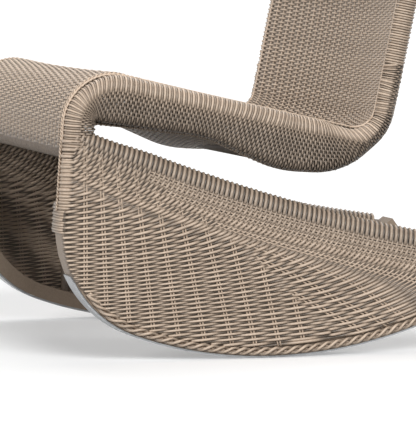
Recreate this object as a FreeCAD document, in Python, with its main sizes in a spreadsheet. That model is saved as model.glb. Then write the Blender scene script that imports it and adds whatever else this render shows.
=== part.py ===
"""Outdoor rocking chair: a bent tube frame under a woven seat, back and side fins.

The chair faces -Y and stands on the floor at Z = 0. X = 0 is its plane of symmetry and +X is the
sitter's left. Side views are drawn in (y, z), with y measured from the point where the rockers touch
the floor; rocker_contact_y moves that point to its place in the chair's frame. Sizes are in
millimetres and degrees.
"""
import FreeCAD, Part
import math
import os

import Sketcher
from FreeCAD import Placement, Rotation, Vector

SIZES = (
    ("overall_width", 660.0, "over the woven sides"),
    ("rocker_contact_y", -45.94, "where the rockers touch the floor"),
    ("tube_diameter", 20.0, "rails, bow and main cross tubes"),
    ("slim_tube_diameter", 14.0, "bowed back tubes, struts and fin uprights"),
    ("tube_wall", 2.0, "wall of every round tube"),
    ("weave_thickness", 5.0, "woven layer"),
    ("fit_gap", 0.3, "room between the weave and what it covers"),
    ("end_setback", 3.0, "tube ends short of the centre line of the tube they meet"),
    ("seat_corner_y", 171.0, "rail corner between seat and back"),
    ("seat_corner_height", 316.0, "rail corner between seat and back"),
    ("seat_rail_length", 472.0, "rail corner at the back to rail corner at the crest"),
    ("seat_slope", 12.8, "fall of the seat to the rear"),
    ("back_recline", 12.1, "lower backrest from upright"),
    ("upper_recline", 18.0, "upper backrest from upright"),
    ("back_bend_height", 590.0, "where the backrest starts to lean further"),
    ("back_top_height", 834.0, "centre line of the top bow"),
    ("seat_bend", 45.0, "rail bend radius between seat and back"),
    ("crest_bend", 60.0, "rail bend radius at the crest"),
    ("back_bend", 700.0, "rail bend radius in the backrest"),
    ("bow_bend", 90.0, "bend radius of the top corners"),
    ("seat_sag", 34.0, "dish of the seat and lower back at mid width"),
    ("crest_fade", 220.0, "seat length over which the dish runs out to the crest"),
    ("top_fade", 280.0, "back length below the bow over which the dish runs out to the top"),
    ("under_fade_start", 100.0, "underside length below the lumbar tube that keeps the dish"),
    ("under_fade", 90.0, "underside length after that over which the dish runs out"),
    ("under_front_run", 270.0, "seat length from the rail corner to the start of the belly"),
    ("under_front_depth", 35.0, "lower rail below the upper rail there"),
    ("belly_run", 155.0, "seat length from the rail corner to the deepest place"),
    ("belly_depth", 60.0, "lower rail below the upper rail there"),
    ("belly_rear_run", 60.0, "seat length from the rail corner to the belly's rear end"),
    ("belly_rear_depth", 45.0, "lower rail below the upper rail there"),
    ("rear_turn_rise", 25.0, "woven rear corner above the rail corner"),
    ("under_post_drop", 52.6, "lower rail's meeting with the post below the crest corner"),
    ("under_front_bend", 200.0, "bend radius at the start of the belly"),
    ("belly_bend", 150.0, "bend radius at the deepest place"),
    ("belly_rear_bend", 95.0, "bend radius of the woven belly at the rear"),
    ("rear_turn_bend", 65.0, "bend radius of the woven rear corner"),
    ("rail_turn_setback", 40.0, "lower rail's rear turn ahead of the belly's rear end"),
    ("rail_end_bend", 40.0, "bend radius of the lower rail's rear end"),
    ("rail_end_run", 45.0, "lower rail's rear end from the rail corner"),
    ("lip_drop", 107.6, "centre line of the lip tube below the crest corner"),
    ("lip_turn_bend", 22.0, "bend radius between the seat's underside and the lip"),
    ("rocker_front_radius", 600.0, "rocker ahead of the contact point"),
    ("rocker_rear_radius", 700.0, "rocker behind the contact point"),
    ("rocker_nose_radius", 170.0, "upturn of the rocker at the front"),
    ("rocker_front_reach", 316.0, "foremost point of the rocker"),
    ("rocker_rear_reach", 400.0, "rear end of the rocker bar"),
    ("bar_width", 50.0, "rocker bar across"),
    ("bar_height", 22.0, "rocker bar in side view"),
    ("bar_wall", 2.5, "rocker bar wall"),
    ("bar_top_height", 225.0, "top of the front end plate"),
    ("end_plate", 3.0, "plates that close the rocker bars"),
    ("glide_width", 40.0, "metal glide across"),
    ("glide_thickness", 3.0, "metal glide"),
    ("glide_front_height", 128.0, "front end of the glide"),
    ("glide_rear_reach", 380.0, "rear end of the glide"),
    ("fin_rail_front_drop", 89.6, "fin rail's meeting with the post below the crest corner"),
    ("fin_rail_rear_reach", 372.0, "fin rail where it meets the rocker bar"),
    ("fin_rail_seat", 4.0, "fin rail's centre line above the rocker bar there"),
    ("fin_rail_hang", 24.0, "fin rail below its chord at the middle"),
    ("fin_rail_tail", 16.0, "fin rail's end beyond that place, inside the rocker bar"),
    ("fin_upright_front", -150.0, "front fin upright, from the contact point"),
    ("fin_upright_rear", 70.0, "rear fin upright, from the contact point"),
    ("fin_setback", 6.0, "fin's upper front corner behind the edge wrap"),
    ("braid_height", 14.0, "border braid in side view"),
    ("braid_thickness", 6.0, "border braid across"),
    ("seat_tube_front_run", 285.0, "front cross tube under the seat, from the rail corner"),
    ("seat_tube_rear_run", 120.0, "rear cross tube under the seat, from the rail corner"),
    ("strut_front_run", 330.0, "front strut between the rails, from the rail corner"),
    ("strut_rear_run", 175.0, "rear strut between the rails, from the rail corner"),
    ("lumbar_rise", 115.0, "lower bowed tube of the back above the rail corner"),
    ("upper_back_drop", 100.0, "upper bowed tube of the back below the foot of the top bow"),
    ("stretcher_reach", 330.0, "rear stretcher, from the contact point"),
    ("sheet_step", 60.0, "longest step between loft stations of a woven sheet"),
    ("wrap_step", 30.0, "longest step between loft stations of an edge wrap"),
    ("station_turn", 9.0, "largest turn between loft stations"),
)

doc = FreeCAD.newDocument("rocking_chair")
sheet = doc.addObject("Spreadsheet::Sheet", "Sizes")
for line, (alias, value, note) in enumerate(SIZES, 1):
    sheet.set(f"A{line}", note)
    sheet.set(f"B{line}", str(value))
    sheet.setAlias(f"B{line}", alias)
doc.recompute()

X_AXIS = Vector(1, 0, 0)
SIDES = (("left", 1), ("right", -1))
FLAT_SAG = 0.5  # a loft section with less dish than this is straight
LEAST_DEPTH = 0.5  # least depth between the rails in an edge wrap section
RAY_STEP = 1.0  # spacing of the points that stand for a path when a ray looks for it
WRAP_CLOSING = 28.0  # turn of a back wrap past the inner side, up to the sitting face
nodes = []


def size(name):
    return float(sheet.get(name))


# Values that several pieces share, and the same values as expressions.
half_width = size("overall_width") / 2
tube_radius = size("tube_diameter") / 2
slim_radius = size("slim_tube_diameter") / 2
wrap_inner = tube_radius + size("fit_gap")
wrap_outer = wrap_inner + size("weave_thickness")
rail_x = half_width - wrap_outer
bar_x = half_width - size("weave_thickness") - size("fit_gap") - size("bar_width") / 2
bar_depth = size("glide_thickness") + size("fit_gap") + size("bar_height") / 2
bar_top_depth = bar_depth + size("bar_height") / 2
braid_depth = size("glide_thickness") + size("fit_gap") + size("braid_height") / 2
sheet_depth = braid_depth + size("braid_height") / 2
TUBE_RADIUS = "Sizes.tube_diameter / 2"
SLIM_RADIUS = "Sizes.slim_tube_diameter / 2"
WRAP_INNER = f"{TUBE_RADIUS} + Sizes.fit_gap"
WRAP_OUTER = f"{WRAP_INNER} + Sizes.weave_thickness"
RAIL_X = f"(Sizes.overall_width / 2 - ({WRAP_OUTER}))"


# Side-view geometry: points, straight runs, bends and stations along them.
def spot(y, z):
    """A side-view point, measured from the rocker contact, in the chair's frame."""
    return Vector(size("rocker_contact_y") + y, z, 0)


def heading(degrees):
    return Vector(math.cos(math.radians(degrees)), math.sin(math.radians(degrees)), 0)


def left_of(way):
    return Vector(-way.y, way.x, 0)


def along_to_height(start, way, height):
    return start + way * ((height - start.y) / way.y)


def in_space(x, point):
    """A side-view point or direction in three dimensions."""
    return Vector(x, point.x, point.y)


class Run:
    """A straight stretch of a path."""

    turn = 0.0

    def __init__(self, start, end):
        self.start = start
        self.end = end
        self.length = (end - start).Length

    def curve(self):
        return Part.LineSegment(self.start, self.end)

    def at(self, share):
        return self.start + (self.end - self.start) * share, (self.end - self.start).normalize()


class Bend:
    """A round stretch of a path about a centre, by the shorter way from start to end."""

    def __init__(self, centre, start, end):
        self.centre = centre
        self.start = start
        self.end = end
        self.radius = (start - centre).Length
        self.first = math.atan2(start.y - centre.y, start.x - centre.x)
        last = math.atan2(end.y - centre.y, end.x - centre.x)
        self.turn = (last - self.first + math.pi) % (2 * math.pi) - math.pi
        self.length = self.radius * abs(self.turn)

    def curve(self):
        low = min(self.first, self.first + self.turn)
        circle = Part.Circle(self.centre, Vector(0, 0, 1), self.radius)
        return Part.ArcOfCircle(circle, low, low + abs(self.turn))

    def at(self, share):
        out = heading(math.degrees(self.first + self.turn * share))
        way = left_of(out) if self.turn > 0 else left_of(out) * -1
        return self.centre + out * self.radius, way


def bent_path(corners):
    """Runs joined by tangent bends. Each corner is (point, bend radius)."""
    path = []
    reached = corners[0][0]
    for before, (corner, radius), after in zip(corners, corners[1:], corners[2:]):
        way_in = (corner - before[0]).normalize()
        way_out = (after[0] - corner).normalize()
        reach = radius * math.tan(way_in.getAngle(way_out) / 2)
        side = 1 if way_in.cross(way_out).z > 0 else -1
        start = corner - way_in * reach
        path.append(Run(reached, start))
        reached = corner + way_out * reach
        path.append(Bend(start + left_of(way_in) * radius * side, start, reached))
    path.append(Run(reached, corners[-1][0]))
    return path


def stations_on(path, longest):
    """(distance, point, normal towards the sitter) along a path, close enough to follow it."""
    found = []
    travelled = 0.0
    for stretch in path:
        steps = max(
            math.ceil(stretch.length / longest),
            math.ceil(abs(math.degrees(stretch.turn)) / size("station_turn")),
        )
        for step in range(steps):
            point, way = stretch.at(step / steps)
            found.append((travelled + stretch.length * step / steps, point, left_of(way) * -1))
        travelled += stretch.length
    point, way = path[-1].at(1.0)
    found.append((travelled, point, left_of(way) * -1))
    return found


def height_at(path, y):
    """The height of a path that runs along the chair, at y."""
    for stretch in path:
        low, high = 0.0, 1.0
        if (stretch.start.x - y) * (stretch.end.x - y) > 0:
            continue
        for _ in range(40):
            middle = (low + high) / 2
            point = stretch.at(middle)[0]
            if (point.x - y) * (stretch.start.x - y) > 0:
                low = middle
            else:
                high = middle
        return stretch.at(low)[0].y
    raise ValueError(f"no point of the path at y = {y}")


# The rocker: three tangent arcs and an upright end, at any depth inside its running surface.
front_radius = size("rocker_front_radius")
rear_radius = size("rocker_rear_radius")
nose_radius = size("rocker_nose_radius")
front_centre = spot(0, front_radius)
rear_centre = spot(0, rear_radius)
nose_turn = math.asin((size("rocker_front_reach") - nose_radius) / (front_radius - nose_radius))
nose_way = heading(270 - math.degrees(nose_turn))
nose_centre = front_centre + nose_way * (front_radius - nose_radius)


def rocker_rear(reach, depth):
    """The rocker's rear stretch at a reach behind the contact point."""
    return rear_centre + Vector(reach, -math.sqrt((rear_radius - depth) ** 2 - reach**2), 0)


def rocker_path(depth, rear_reach, front_height):
    """The rocker from its rear end to a height at the front."""
    bottom = spot(0, depth)
    bend = front_centre + nose_way * (front_radius - depth)
    path = [
        Bend(rear_centre, rocker_rear(rear_reach, depth), bottom),
        Bend(front_centre, bottom, bend),
    ]
    radius = nose_radius - depth
    drop = nose_centre.y - front_height
    if drop > 0:
        front = nose_centre + Vector(-math.sqrt(radius**2 - drop**2), -drop, 0)
        path.append(Bend(nose_centre, bend, front))
    else:
        foremost = nose_centre - Vector(radius, 0, 0)
        path.append(Bend(nose_centre, bend, foremost))
        path.append(Run(foremost, foremost - Vector(0, drop, 0)))
    return path


# The seat frame in side view: the upper rail, and the lower rail that makes the seat deep.
seat_way = heading(180 - size("seat_slope"))
lower_back_way = heading(90 - size("back_recline"))
upper_back_way = heading(90 - size("upper_recline"))
seat_corner = spot(size("seat_corner_y"), size("seat_corner_height"))
crest_corner = seat_corner + seat_way * size("seat_rail_length")
back_corner = along_to_height(seat_corner, lower_back_way, size("back_bend_height"))
back_top = along_to_height(back_corner, upper_back_way, size("back_top_height"))
rail_top = back_top - upper_back_way * size("bow_bend")
lumbar = along_to_height(seat_corner, lower_back_way, seat_corner.y + size("lumbar_rise"))
post_foot = Vector(nose_centre.x - nose_radius + bar_depth, size("bar_top_height"), 0)
post_way = (crest_corner - post_foot).normalize()
post_end = post_foot + post_way * (tube_radius * abs(post_way.x) / post_way.y)
lip_point = along_to_height(post_foot, post_way, crest_corner.y - size("lip_drop"))


def under_seat(run, depth):
    """A point below the upper rail's seat stretch, at a run from the rail corner."""
    return seat_corner + seat_way * run - Vector(0, depth, 0)


under_front = under_seat(size("under_front_run"), size("under_front_depth"))
belly = under_seat(size("belly_run"), size("belly_depth"))
belly_rear = under_seat(size("belly_rear_run"), size("belly_rear_depth"))
under_post = along_to_height(post_foot, post_way, crest_corner.y - size("under_post_drop"))
rail_turn = belly_rear + (belly - belly_rear).normalize() * size("rail_turn_setback")
rear_turn = along_to_height(
    seat_corner, lower_back_way, size("seat_corner_height") + size("rear_turn_rise")
)
back_bends = ((back_corner, size("back_bend")),)
front_bends = ((seat_corner, size("seat_bend")), (crest_corner, size("crest_bend")))
belly_bends = ((belly, size("belly_bend")), (under_front, size("under_front_bend")))

upper_path = bent_path(((rail_top, 0), *back_bends, *front_bends, (post_end, 0)))
face_path = bent_path(((rail_top, 0), *back_bends, *front_bends, (lip_point, 0)))
rear_path = bent_path(
    (
        (lumbar, 0),
        (rear_turn, size("rear_turn_bend")),
        (belly_rear, size("belly_rear_bend")),
        *belly_bends,
        (under_post, size("lip_turn_bend")),
        (lip_point, 0),
    )
)
rail_end = seat_corner + seat_way * size("rail_end_run")
lower_path = bent_path(
    (
        (rail_end + (rail_turn - rail_end).normalize() * size("end_setback"), 0),
        (rail_turn, size("rail_end_bend")),
        *belly_bends,
        (under_post + (under_front - under_post).normalize() * size("end_setback"), 0),
    )
)
crest_distance = sum(stretch.length for stretch in face_path[:-2])
crest_point = face_path[-2].start

fin_front = along_to_height(post_foot, post_way, crest_corner.y - size("fin_rail_front_drop"))
fin_rear = rocker_rear(size("fin_rail_rear_reach"), bar_top_depth) + Vector(0, size("fin_rail_seat"), 0)
fin_chord = fin_rear - fin_front
fin_radius = (fin_chord.Length**2 / 4 + size("fin_rail_hang") ** 2) / (2 * size("fin_rail_hang"))
fin_middle = fin_front + fin_chord * 0.5
fin_centre = fin_middle + left_of(fin_chord).normalize() * (fin_radius - size("fin_rail_hang"))


def along_fin(point, length):
    """A point of the fin rail moved on along its arc."""
    turned = point - fin_centre + left_of(point - fin_centre).normalize() * length
    return fin_centre + turned.normalize() * fin_radius


fin_path = [
    Bend(
        fin_centre,
        along_fin(fin_front, size("end_setback")),
        along_fin(fin_rear, size("fin_rail_tail")),
    )
]


# Bodies: sketches in the side view, sections square to a path, and pipes along it.
def plane_of(body, role):
    return next(feature for feature in body.Origin.OriginFeatures if feature.Role == role)


def side_sketch(body, name, curves, x):
    """Side-view curves as a sketch on the body's YZ plane, moved to x."""
    sketch = body.newObject("Sketcher::SketchObject", name)
    sketch.AttachmentSupport = [(plane_of(body, "YZ_Plane"), "")]
    sketch.MapMode = "FlatFace"
    sketch.AttachmentOffset = Placement(Vector(0, 0, x), Rotation())
    sketch.addGeometry(curves, False)
    return sketch


def section_sketch(body, name, x, path):
    """An empty sketch square to a path's start, its own x axis along the chair's X."""
    sketch = body.newObject("Sketcher::SketchObject", name)
    point, way = path[0].at(0)
    along = in_space(0, way)
    turned = Rotation(X_AXIS, along.cross(X_AXIS), along, "ZXY")
    sketch.Placement = Placement(in_space(x, point), turned)
    return sketch


def add_circle(sketch, radius_text):
    """A circle at the sketch's origin with its radius bound to the sheet."""
    index = sketch.addGeometry(Part.Circle(Vector(), Vector(0, 0, 1), 1.0), False)
    sketch.addConstraint(Sketcher.Constraint("Coincident", index, 3, -1, 1))
    radius = sketch.addConstraint(Sketcher.Constraint("Radius", index, 1.0))
    sketch.setExpression(f"Constraints[{radius}]", radius_text)


def add_rectangle(sketch, width, height, width_text, height_text):
    """A rectangle about the sketch's origin with its sides bound to the sheet."""
    x, y = width / 2, height / 2
    corners = [Vector(-x, -y, 0), Vector(x, -y, 0), Vector(x, y, 0), Vector(-x, y, 0)]
    first = sketch.GeometryCount
    for here, after in zip(corners, corners[1:] + corners[:1]):
        sketch.addGeometry(Part.LineSegment(here, after), False)
    for side in range(4):
        after = (side + 1) % 4
        sketch.addConstraint(Sketcher.Constraint("Coincident", first + side, 2, first + after, 1))
    for side in (0, 2):
        sketch.addConstraint(Sketcher.Constraint("Horizontal", first + side))
        sketch.addConstraint(Sketcher.Constraint("Vertical", first + side + 1))
    sketch.addConstraint(Sketcher.Constraint("Symmetric", first, 1, first + 1, 2, -1, 1))
    across = sketch.addConstraint(Sketcher.Constraint("DistanceX", first, 1, first, 2, width))
    sketch.setExpression(f"Constraints[{across}]", width_text)
    up = sketch.addConstraint(Sketcher.Constraint("DistanceY", first + 1, 1, first + 1, 2, height))
    sketch.setExpression(f"Constraints[{up}]", height_text)


def add_ring_part(sketch, first, last):
    """Part of the wrap's ring about the sketch's origin, between two angles in degrees."""
    out, back = heading(first), heading(last)
    for radius in (wrap_outer, wrap_inner):
        circle = Part.Circle(Vector(), Vector(0, 0, 1), radius)
        sketch.addGeometry(Part.ArcOfCircle(circle, math.radians(first), math.radians(last)), False)
    sketch.addGeometry(Part.LineSegment(out * wrap_outer, out * wrap_inner), False)
    sketch.addGeometry(Part.LineSegment(back * wrap_outer, back * wrap_inner), False)
    for arc, text in ((0, WRAP_OUTER), (1, WRAP_INNER)):
        sketch.addConstraint(Sketcher.Constraint("Coincident", arc, 3, -1, 1))
        sketch.addConstraint(Sketcher.Constraint("Coincident", 2, arc + 1, arc, 1))
        sketch.addConstraint(Sketcher.Constraint("Coincident", 3, arc + 1, arc, 2))
        radius = sketch.addConstraint(
            Sketcher.Constraint("Radius", arc, wrap_inner if arc else wrap_outer)
        )
        sketch.setExpression(f"Constraints[{radius}]", text)


def new_body(label):
    body = doc.addObject("PartDesign::Body", label)
    body.Label = label
    return body


def add_pipe(body, name, profile, spine):
    pipe = body.newObject("PartDesign::AdditivePipe", name)
    pipe.Profile = profile
    pipe.Spine = (spine, [f"Edge{number + 1}" for number in range(spine.GeometryCount)])
    return pipe


def curves_of(path):
    return [stretch.curve() for stretch in path]


def tube_body(label, path, x, radius_text):
    """A round tube along a side-view path."""
    body = new_body(label)
    spine = side_sketch(body, f"{label}_path", curves_of(path), x)
    section = section_sketch(body, f"{label}_section", x, path)
    add_circle(section, radius_text)
    add_circle(section, f"{radius_text} - Sizes.tube_wall")
    add_pipe(body, f"{label}_pipe", section, spine)
    return body


def cross_tube(label, point, half_length, half_text):
    """A straight round tube across the chair, centred on the plane of symmetry."""
    body = new_body(label)
    section = side_sketch(body, f"{label}_section", [], 0)
    section.AttachmentOffset = Placement(point, Rotation())
    add_circle(section, TUBE_RADIUS)
    add_circle(section, f"{TUBE_RADIUS} - Sizes.tube_wall")
    pad = body.newObject("PartDesign::Pad", f"{label}_pad")
    pad.Profile = section
    pad.SideType = "Symmetric"
    pad.Length = half_length * 2
    pad.setExpression("Length", f"({half_text}) * 2")
    return body


def keep(obj):
    nodes.append(obj)
    return obj


def feature(label, shape):
    obj = doc.addObject("Part::Feature", label)
    obj.Label = label
    obj.Shape = shape
    return obj


def cut(label, base, *tools):
    """A base less one tool after another."""
    for number, tool in enumerate(tools, 1):
        name = label if number == len(tools) else f"{label}_cut_{number}"
        obj = doc.addObject("Part::Cut", name)
        obj.Label = name
        obj.Base = base
        obj.Tool = tool
        base = obj
    return base


def wire_of(path, x):
    """A side-view path as a wire in space."""
    edges = []
    for stretch in path:
        start, middle, end = (in_space(x, stretch.at(share)[0]) for share in (0, 0.5, 1))
        if stretch.turn:
            edges.append(Part.Arc(start, middle, end).toShape())
        else:
            edges.append(Part.LineSegment(start, end).toShape())
    return Part.Wire(edges)


def rod(path, x, radius):
    """A solid round rod along a side-view path, for coping what meets a rail."""
    point, way = path[0].at(0)
    ring = Part.Wire(Part.makeCircle(radius, in_space(x, point), in_space(0, way)))
    return wire_of(path, x).makePipeShell([ring], True, False)


def strut(label, start, end, radius_text, *tools):
    """A straight slim tube between two points in space, coped by the tools."""
    way = end - start
    parts = []
    for name, text in (("outer", radius_text), ("inner", f"{radius_text} - Sizes.tube_wall")):
        part = doc.addObject("Part::Cylinder", f"{label}_{name}")
        part.setExpression("Radius", text)
        part.Height = way.Length
        part.Placement = Placement(start, Rotation(Vector(0, 0, 1), way))
        parts.append(part)
    return cut(label, cut(f"{label}_tube", *parts), *tools)


# Frame: rails, cross tubes and struts.
upper_rods = {}
lower_rods = {}
for name, side in SIDES:
    upper_rods[side] = feature(f"{name}_upper_rod", rod(upper_path, side * rail_x, tube_radius))
    lower_rods[side] = feature(f"{name}_lower_rod", rod(lower_path, side * rail_x, tube_radius))


def make_rails():
    for name, side in SIDES:
        keep(tube_body(f"{name}_upper_rail", upper_path, side * rail_x, TUBE_RADIUS))
        stock = tube_body(f"{name}_lower_stock", lower_path, side * rail_x, TUBE_RADIUS)
        keep(cut(f"{name}_lower_rail", stock, upper_rods[side]))
        for place in ("front", "rear"):
            top = seat_corner + seat_way * size(f"strut_{place}_run")
            foot = Vector(top.x, height_at(lower_path, top.x), 0)
            start, end = in_space(side * rail_x, foot), in_space(side * rail_x, top)
            rods = upper_rods[side], lower_rods[side]
            keep(strut(f"{name}_{place}_strut", start, end, SLIM_RADIUS, *rods))


def make_top_bow():
    """The top bow and the woven wrap over its outer half, in the plane of the upper back."""
    bend = size("bow_bend")
    left, right = Vector(rail_x - bend, 0, 0), Vector(bend - rail_x, 0, 0)
    top = Vector(0, bend, 0)
    path = [
        Bend(left, left + Vector(bend, 0, 0), left + top),
        Run(left + top, right + top),
        Bend(right, right + top, right - Vector(bend, 0, 0)),
    ]
    up = in_space(0, upper_back_way)
    lying = Placement(in_space(0, rail_top), Rotation(X_AXIS, up, X_AXIS.cross(up), "XYZ"))
    for label in ("top_bow", "top_wrap"):
        body = keep(new_body(label))
        spine = body.newObject("Sketcher::SketchObject", f"{label}_path")
        spine.Placement = lying
        spine.addGeometry(curves_of(path), False)
        section = section_sketch(body, f"{label}_section", rail_x, [Run(rail_top, back_top)])
        if label == "top_bow":
            add_circle(section, TUBE_RADIUS)
            add_circle(section, f"{TUBE_RADIUS} - Sizes.tube_wall")
        else:
            add_ring_part(section, -90, 180 + WRAP_CLOSING)
        add_pipe(body, f"{label}_pipe", section, spine)


def make_cross_tubes():
    for label, point in (("crest_tube", crest_point), ("lip_tube", lip_point)):
        keep(cut(label, cross_tube(f"{label}_stock", point, rail_x, RAIL_X), *upper_rods.values()))
    for place in ("front", "rear"):
        y = (seat_corner + seat_way * size(f"seat_tube_{place}_run")).x
        point = Vector(y, height_at(lower_path, y), 0)
        label = f"seat_{place}_tube"
        keep(cut(label, cross_tube(f"{label}_stock", point, rail_x, RAIL_X), *lower_rods.values()))


def section_arc(point, normal, offset, sag):
    """An arc across the chair, offset from a side-view point and dished at mid width."""
    edge = point + normal * offset
    right, left = in_space(-rail_x, edge), in_space(rail_x, edge)
    if sag < FLAT_SAG:
        return Part.makeLine(right, left)
    return Part.Arc(right, in_space(0, edge - normal * sag), left).toShape()


def smooth(share):
    share = min(max(share, 0.0), 1.0)
    return share * share * (3 - 2 * share)


def sag_at(from_top, from_crest):
    """Dish at two distances along a face: from the foot of the top bow and from the crest."""
    share = smooth(from_top / size("top_fade")) * smooth(from_crest / size("crest_fade"))
    return size("seat_sag") * share


def bowed_body(label, point, way, from_top, half_span):
    """A body with a path sketch across the back, dished as the weave is, and a section sketch.

    In the section, x faces the sitter and y runs up the back.
    """
    facing = left_of(way)
    sag = sag_at(from_top, crest_distance - from_top)
    radius = (rail_x**2 + sag**2) / (2 * sag)
    centre = Vector(0, radius - sag, 0)
    ends = []
    for x in (half_span, -half_span):
        ends.append(centre + Vector(x, -math.sqrt(radius**2 - x**2), 0))
    path = [Bend(centre, *ends)]
    body = new_body(label)
    spine = body.newObject("Sketcher::SketchObject", f"{label}_path")
    front, up = in_space(0, facing), in_space(0, way)
    spine.Placement = Placement(in_space(0, point), Rotation(X_AXIS, front, X_AXIS.cross(front), "XYZ"))
    spine.addGeometry(curves_of(path), False)
    start, along = path[0].at(0)
    section = body.newObject("Sketcher::SketchObject", f"{label}_section")
    along = X_AXIS * along.x + front * along.y
    section.Placement = Placement(
        in_space(0, point) + X_AXIS * start.x + front * start.y,
        Rotation(up.cross(along), up, along, "ZXY"),
    )
    return body, spine, section


back_rooms = {1: [], -1: []}


def cope_rod(label, side, point, way):
    """A straight rod along a rail through a point on it, with its seam turned away from the chair."""
    tool = doc.addObject("Part::Cylinder", label)
    tool.setExpression("Radius", TUBE_RADIUS)
    tool.Height = 4 * wrap_outer
    along, outward = in_space(0, way), X_AXIS * side
    start = in_space(side * rail_x, point) - along * (tool.Height.Value / 2)
    tool.Placement = Placement(start, Rotation(outward, along.cross(outward), along, "ZXY"))
    return tool


def make_back_tubes():
    """Bowed tubes that carry the back's weave, coped to the rails, and the wrap on the lower one."""
    lumbar_drop = (rail_top - lumbar).Length
    upper_drop = size("upper_back_drop")
    joint = rail_top - upper_back_way * upper_drop
    upper = joint + left_of(upper_back_way) * (tube_radius - slim_radius - size("fit_gap"))
    slightly_less = f"{TUBE_RADIUS} - Sizes.fit_gap"
    for label, on_rail, point, way, drop, text in (
        ("lumbar_tube", lumbar, lumbar, lower_back_way, lumbar_drop, slightly_less),
        ("upper_back_tube", joint, upper, upper_back_way, upper_drop, SLIM_RADIUS),
    ):
        stock, spine, section = bowed_body(f"{label}_stock", point, way, drop, rail_x)
        add_circle(section, text)
        add_circle(section, f"{text} - Sizes.tube_wall")
        add_pipe(stock, f"{label}_pipe", section, spine)
        copes = [cope_rod(f"{label}_cope", side, on_rail, way) for _, side in SIDES]
        keep(cut(label, stock, *copes))
        slope = 2 * sag_at(drop, crest_distance - drop) / rail_x
        for _, side in SIDES:
            room = doc.addObject("Part::Cylinder", f"{label}_room")
            room.setExpression("Radius", f"{text} + Sizes.fit_gap")
            room.Height = wrap_outer * 2
            inward = X_AXIS * -side - in_space(0, left_of(way)) * slope
            room.Placement = Placement(
                in_space(side * rail_x, point), Rotation(Vector(0, 0, 1), inward)
            )
            back_rooms[side].append(room)
    clear = rail_x - wrap_outer - size("fit_gap")
    wrap, spine, section = bowed_body("lumbar_wrap", lumbar, lower_back_way, lumbar_drop, clear)
    add_ring_part(section, 90, 180)
    add_pipe(wrap, "lumbar_wrap_pipe", section, spine)
    keep(wrap)


# Weave of the seat and back: two dished faces, the edge wraps and the lip.
def top_panel():
    """The flat top of the sitting face, inside the centre line of the top bow."""
    bend = size("bow_bend")
    slant = bend * math.sqrt(0.5)
    up, out = in_space(0, upper_back_way), in_space(0, left_of(upper_back_way))
    base = in_space(0, rail_top) + out * wrap_inner

    def place(x, rise):
        return base + X_AXIS * x + up * rise

    def corner(side):
        middle = place(side * (rail_x - bend + slant), slant)
        return Part.Arc(place(side * rail_x, 0), middle, place(side * (rail_x - bend), bend)).toShape()

    edges = [
        corner(1),
        Part.makeLine(place(rail_x - bend, bend), place(bend - rail_x, bend)),
        corner(-1),
        Part.makeLine(place(-rail_x, 0), place(rail_x, 0)),
    ]
    return Part.Face(Part.Wire(edges)).extrude(out * size("weave_thickness"))


def dished_sheet(stations, side, sags):
    """A woven sheet on the sitter's side (1) or the rear side (-1) of the stations."""
    wires = []
    for (_, point, normal), sag in zip(stations, sags):
        outer = section_arc(point, normal, wrap_outer * side, sag)
        inner = section_arc(point, normal, wrap_inner * side, sag)
        ends = []
        for place in ("FirstParameter", "LastParameter"):
            ends.append(
                Part.makeLine(
                    outer.valueAt(getattr(outer, place)), inner.valueAt(getattr(inner, place))
                )
            )
        wires.append(Part.Wire([outer, ends[1], inner, ends[0]]))
    return Part.makeLoft(wires, True, True)


def make_faces():
    stations = stations_on(face_path, size("sheet_step"))
    sags = [sag_at(distance, crest_distance - distance) for distance, _, _ in stations]
    front = dished_sheet(stations, 1, sags)
    keep(feature("front_weave", front.fuse(top_panel())))
    end = sum(stretch.length for stretch in rear_path[:-2])
    stations = [place for place in stations_on(rear_path, size("sheet_step")) if place[0] < end]
    lumbar_drop = (rail_top - lumbar).Length
    lumbar_sag = sag_at(lumbar_drop, crest_distance - lumbar_drop)
    sags = []
    for distance, _, _ in stations:
        faded = smooth((distance - size("under_fade_start")) / size("under_fade"))
        sags.append(lumbar_sag * (1 - faded))
    keep(feature("rear_weave", dished_sheet(stations, -1, sags)))


def depth_to_rear(point, normal):
    """How far the centre of a section's rear rounding lies behind a point of the face path.

    The section's rear end then meets the rear weave's outer surface.
    """
    nearest = size("belly_depth") * 2 + wrap_outer
    met = False
    for stretch in rear_path:
        steps = math.ceil(stretch.length / RAY_STEP)
        places = []
        for step in range(steps + 1):
            centre, way = stretch.at(step / steps)
            places.append(centre + left_of(way) * wrap_outer - point)
        for here, after in zip(places, places[1:]):
            low, high = here.cross(normal).z, after.cross(normal).z
            if low * high > 0 or low == high:
                continue
            depth = -(here + (after - here) * (low / (low - high))).dot(normal)
            if 0 < depth < nearest:
                nearest = depth
                met = True
    return max(nearest - wrap_outer, LEAST_DEPTH) if met else LEAST_DEPTH


def edge_section(point, normal, depth, side):
    """A C-shaped section that covers the upper rail, the lower rail and the space between."""

    def place(x, offset):
        return in_space(side * (rail_x + x), point + normal * offset)

    slant = math.sqrt(0.5)
    edges = []
    for radius in (wrap_outer, wrap_inner):
        top = [place(0, radius), place(radius * slant, radius * slant), place(radius, 0)]
        foot = [
            place(radius, -depth),
            place(radius * slant, -depth - radius * slant),
            place(0, -depth - radius),
        ]
        edges.append(
            [
                Part.Arc(*top).toShape(),
                Part.makeLine(top[2], foot[0]),
                Part.Arc(*foot).toShape(),
            ]
        )
    outer, inner = edges
    closing = []
    for radius_a, radius_b, low in ((wrap_outer, wrap_inner, True), (wrap_outer, wrap_inner, False)):
        if low:
            closing.append(Part.makeLine(place(0, -depth - radius_a), place(0, -depth - radius_b)))
        else:
            closing.append(Part.makeLine(place(0, radius_b), place(0, radius_a)))
    return Part.Wire(outer + [closing[0]] + inner[::-1] + [closing[1]])


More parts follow.
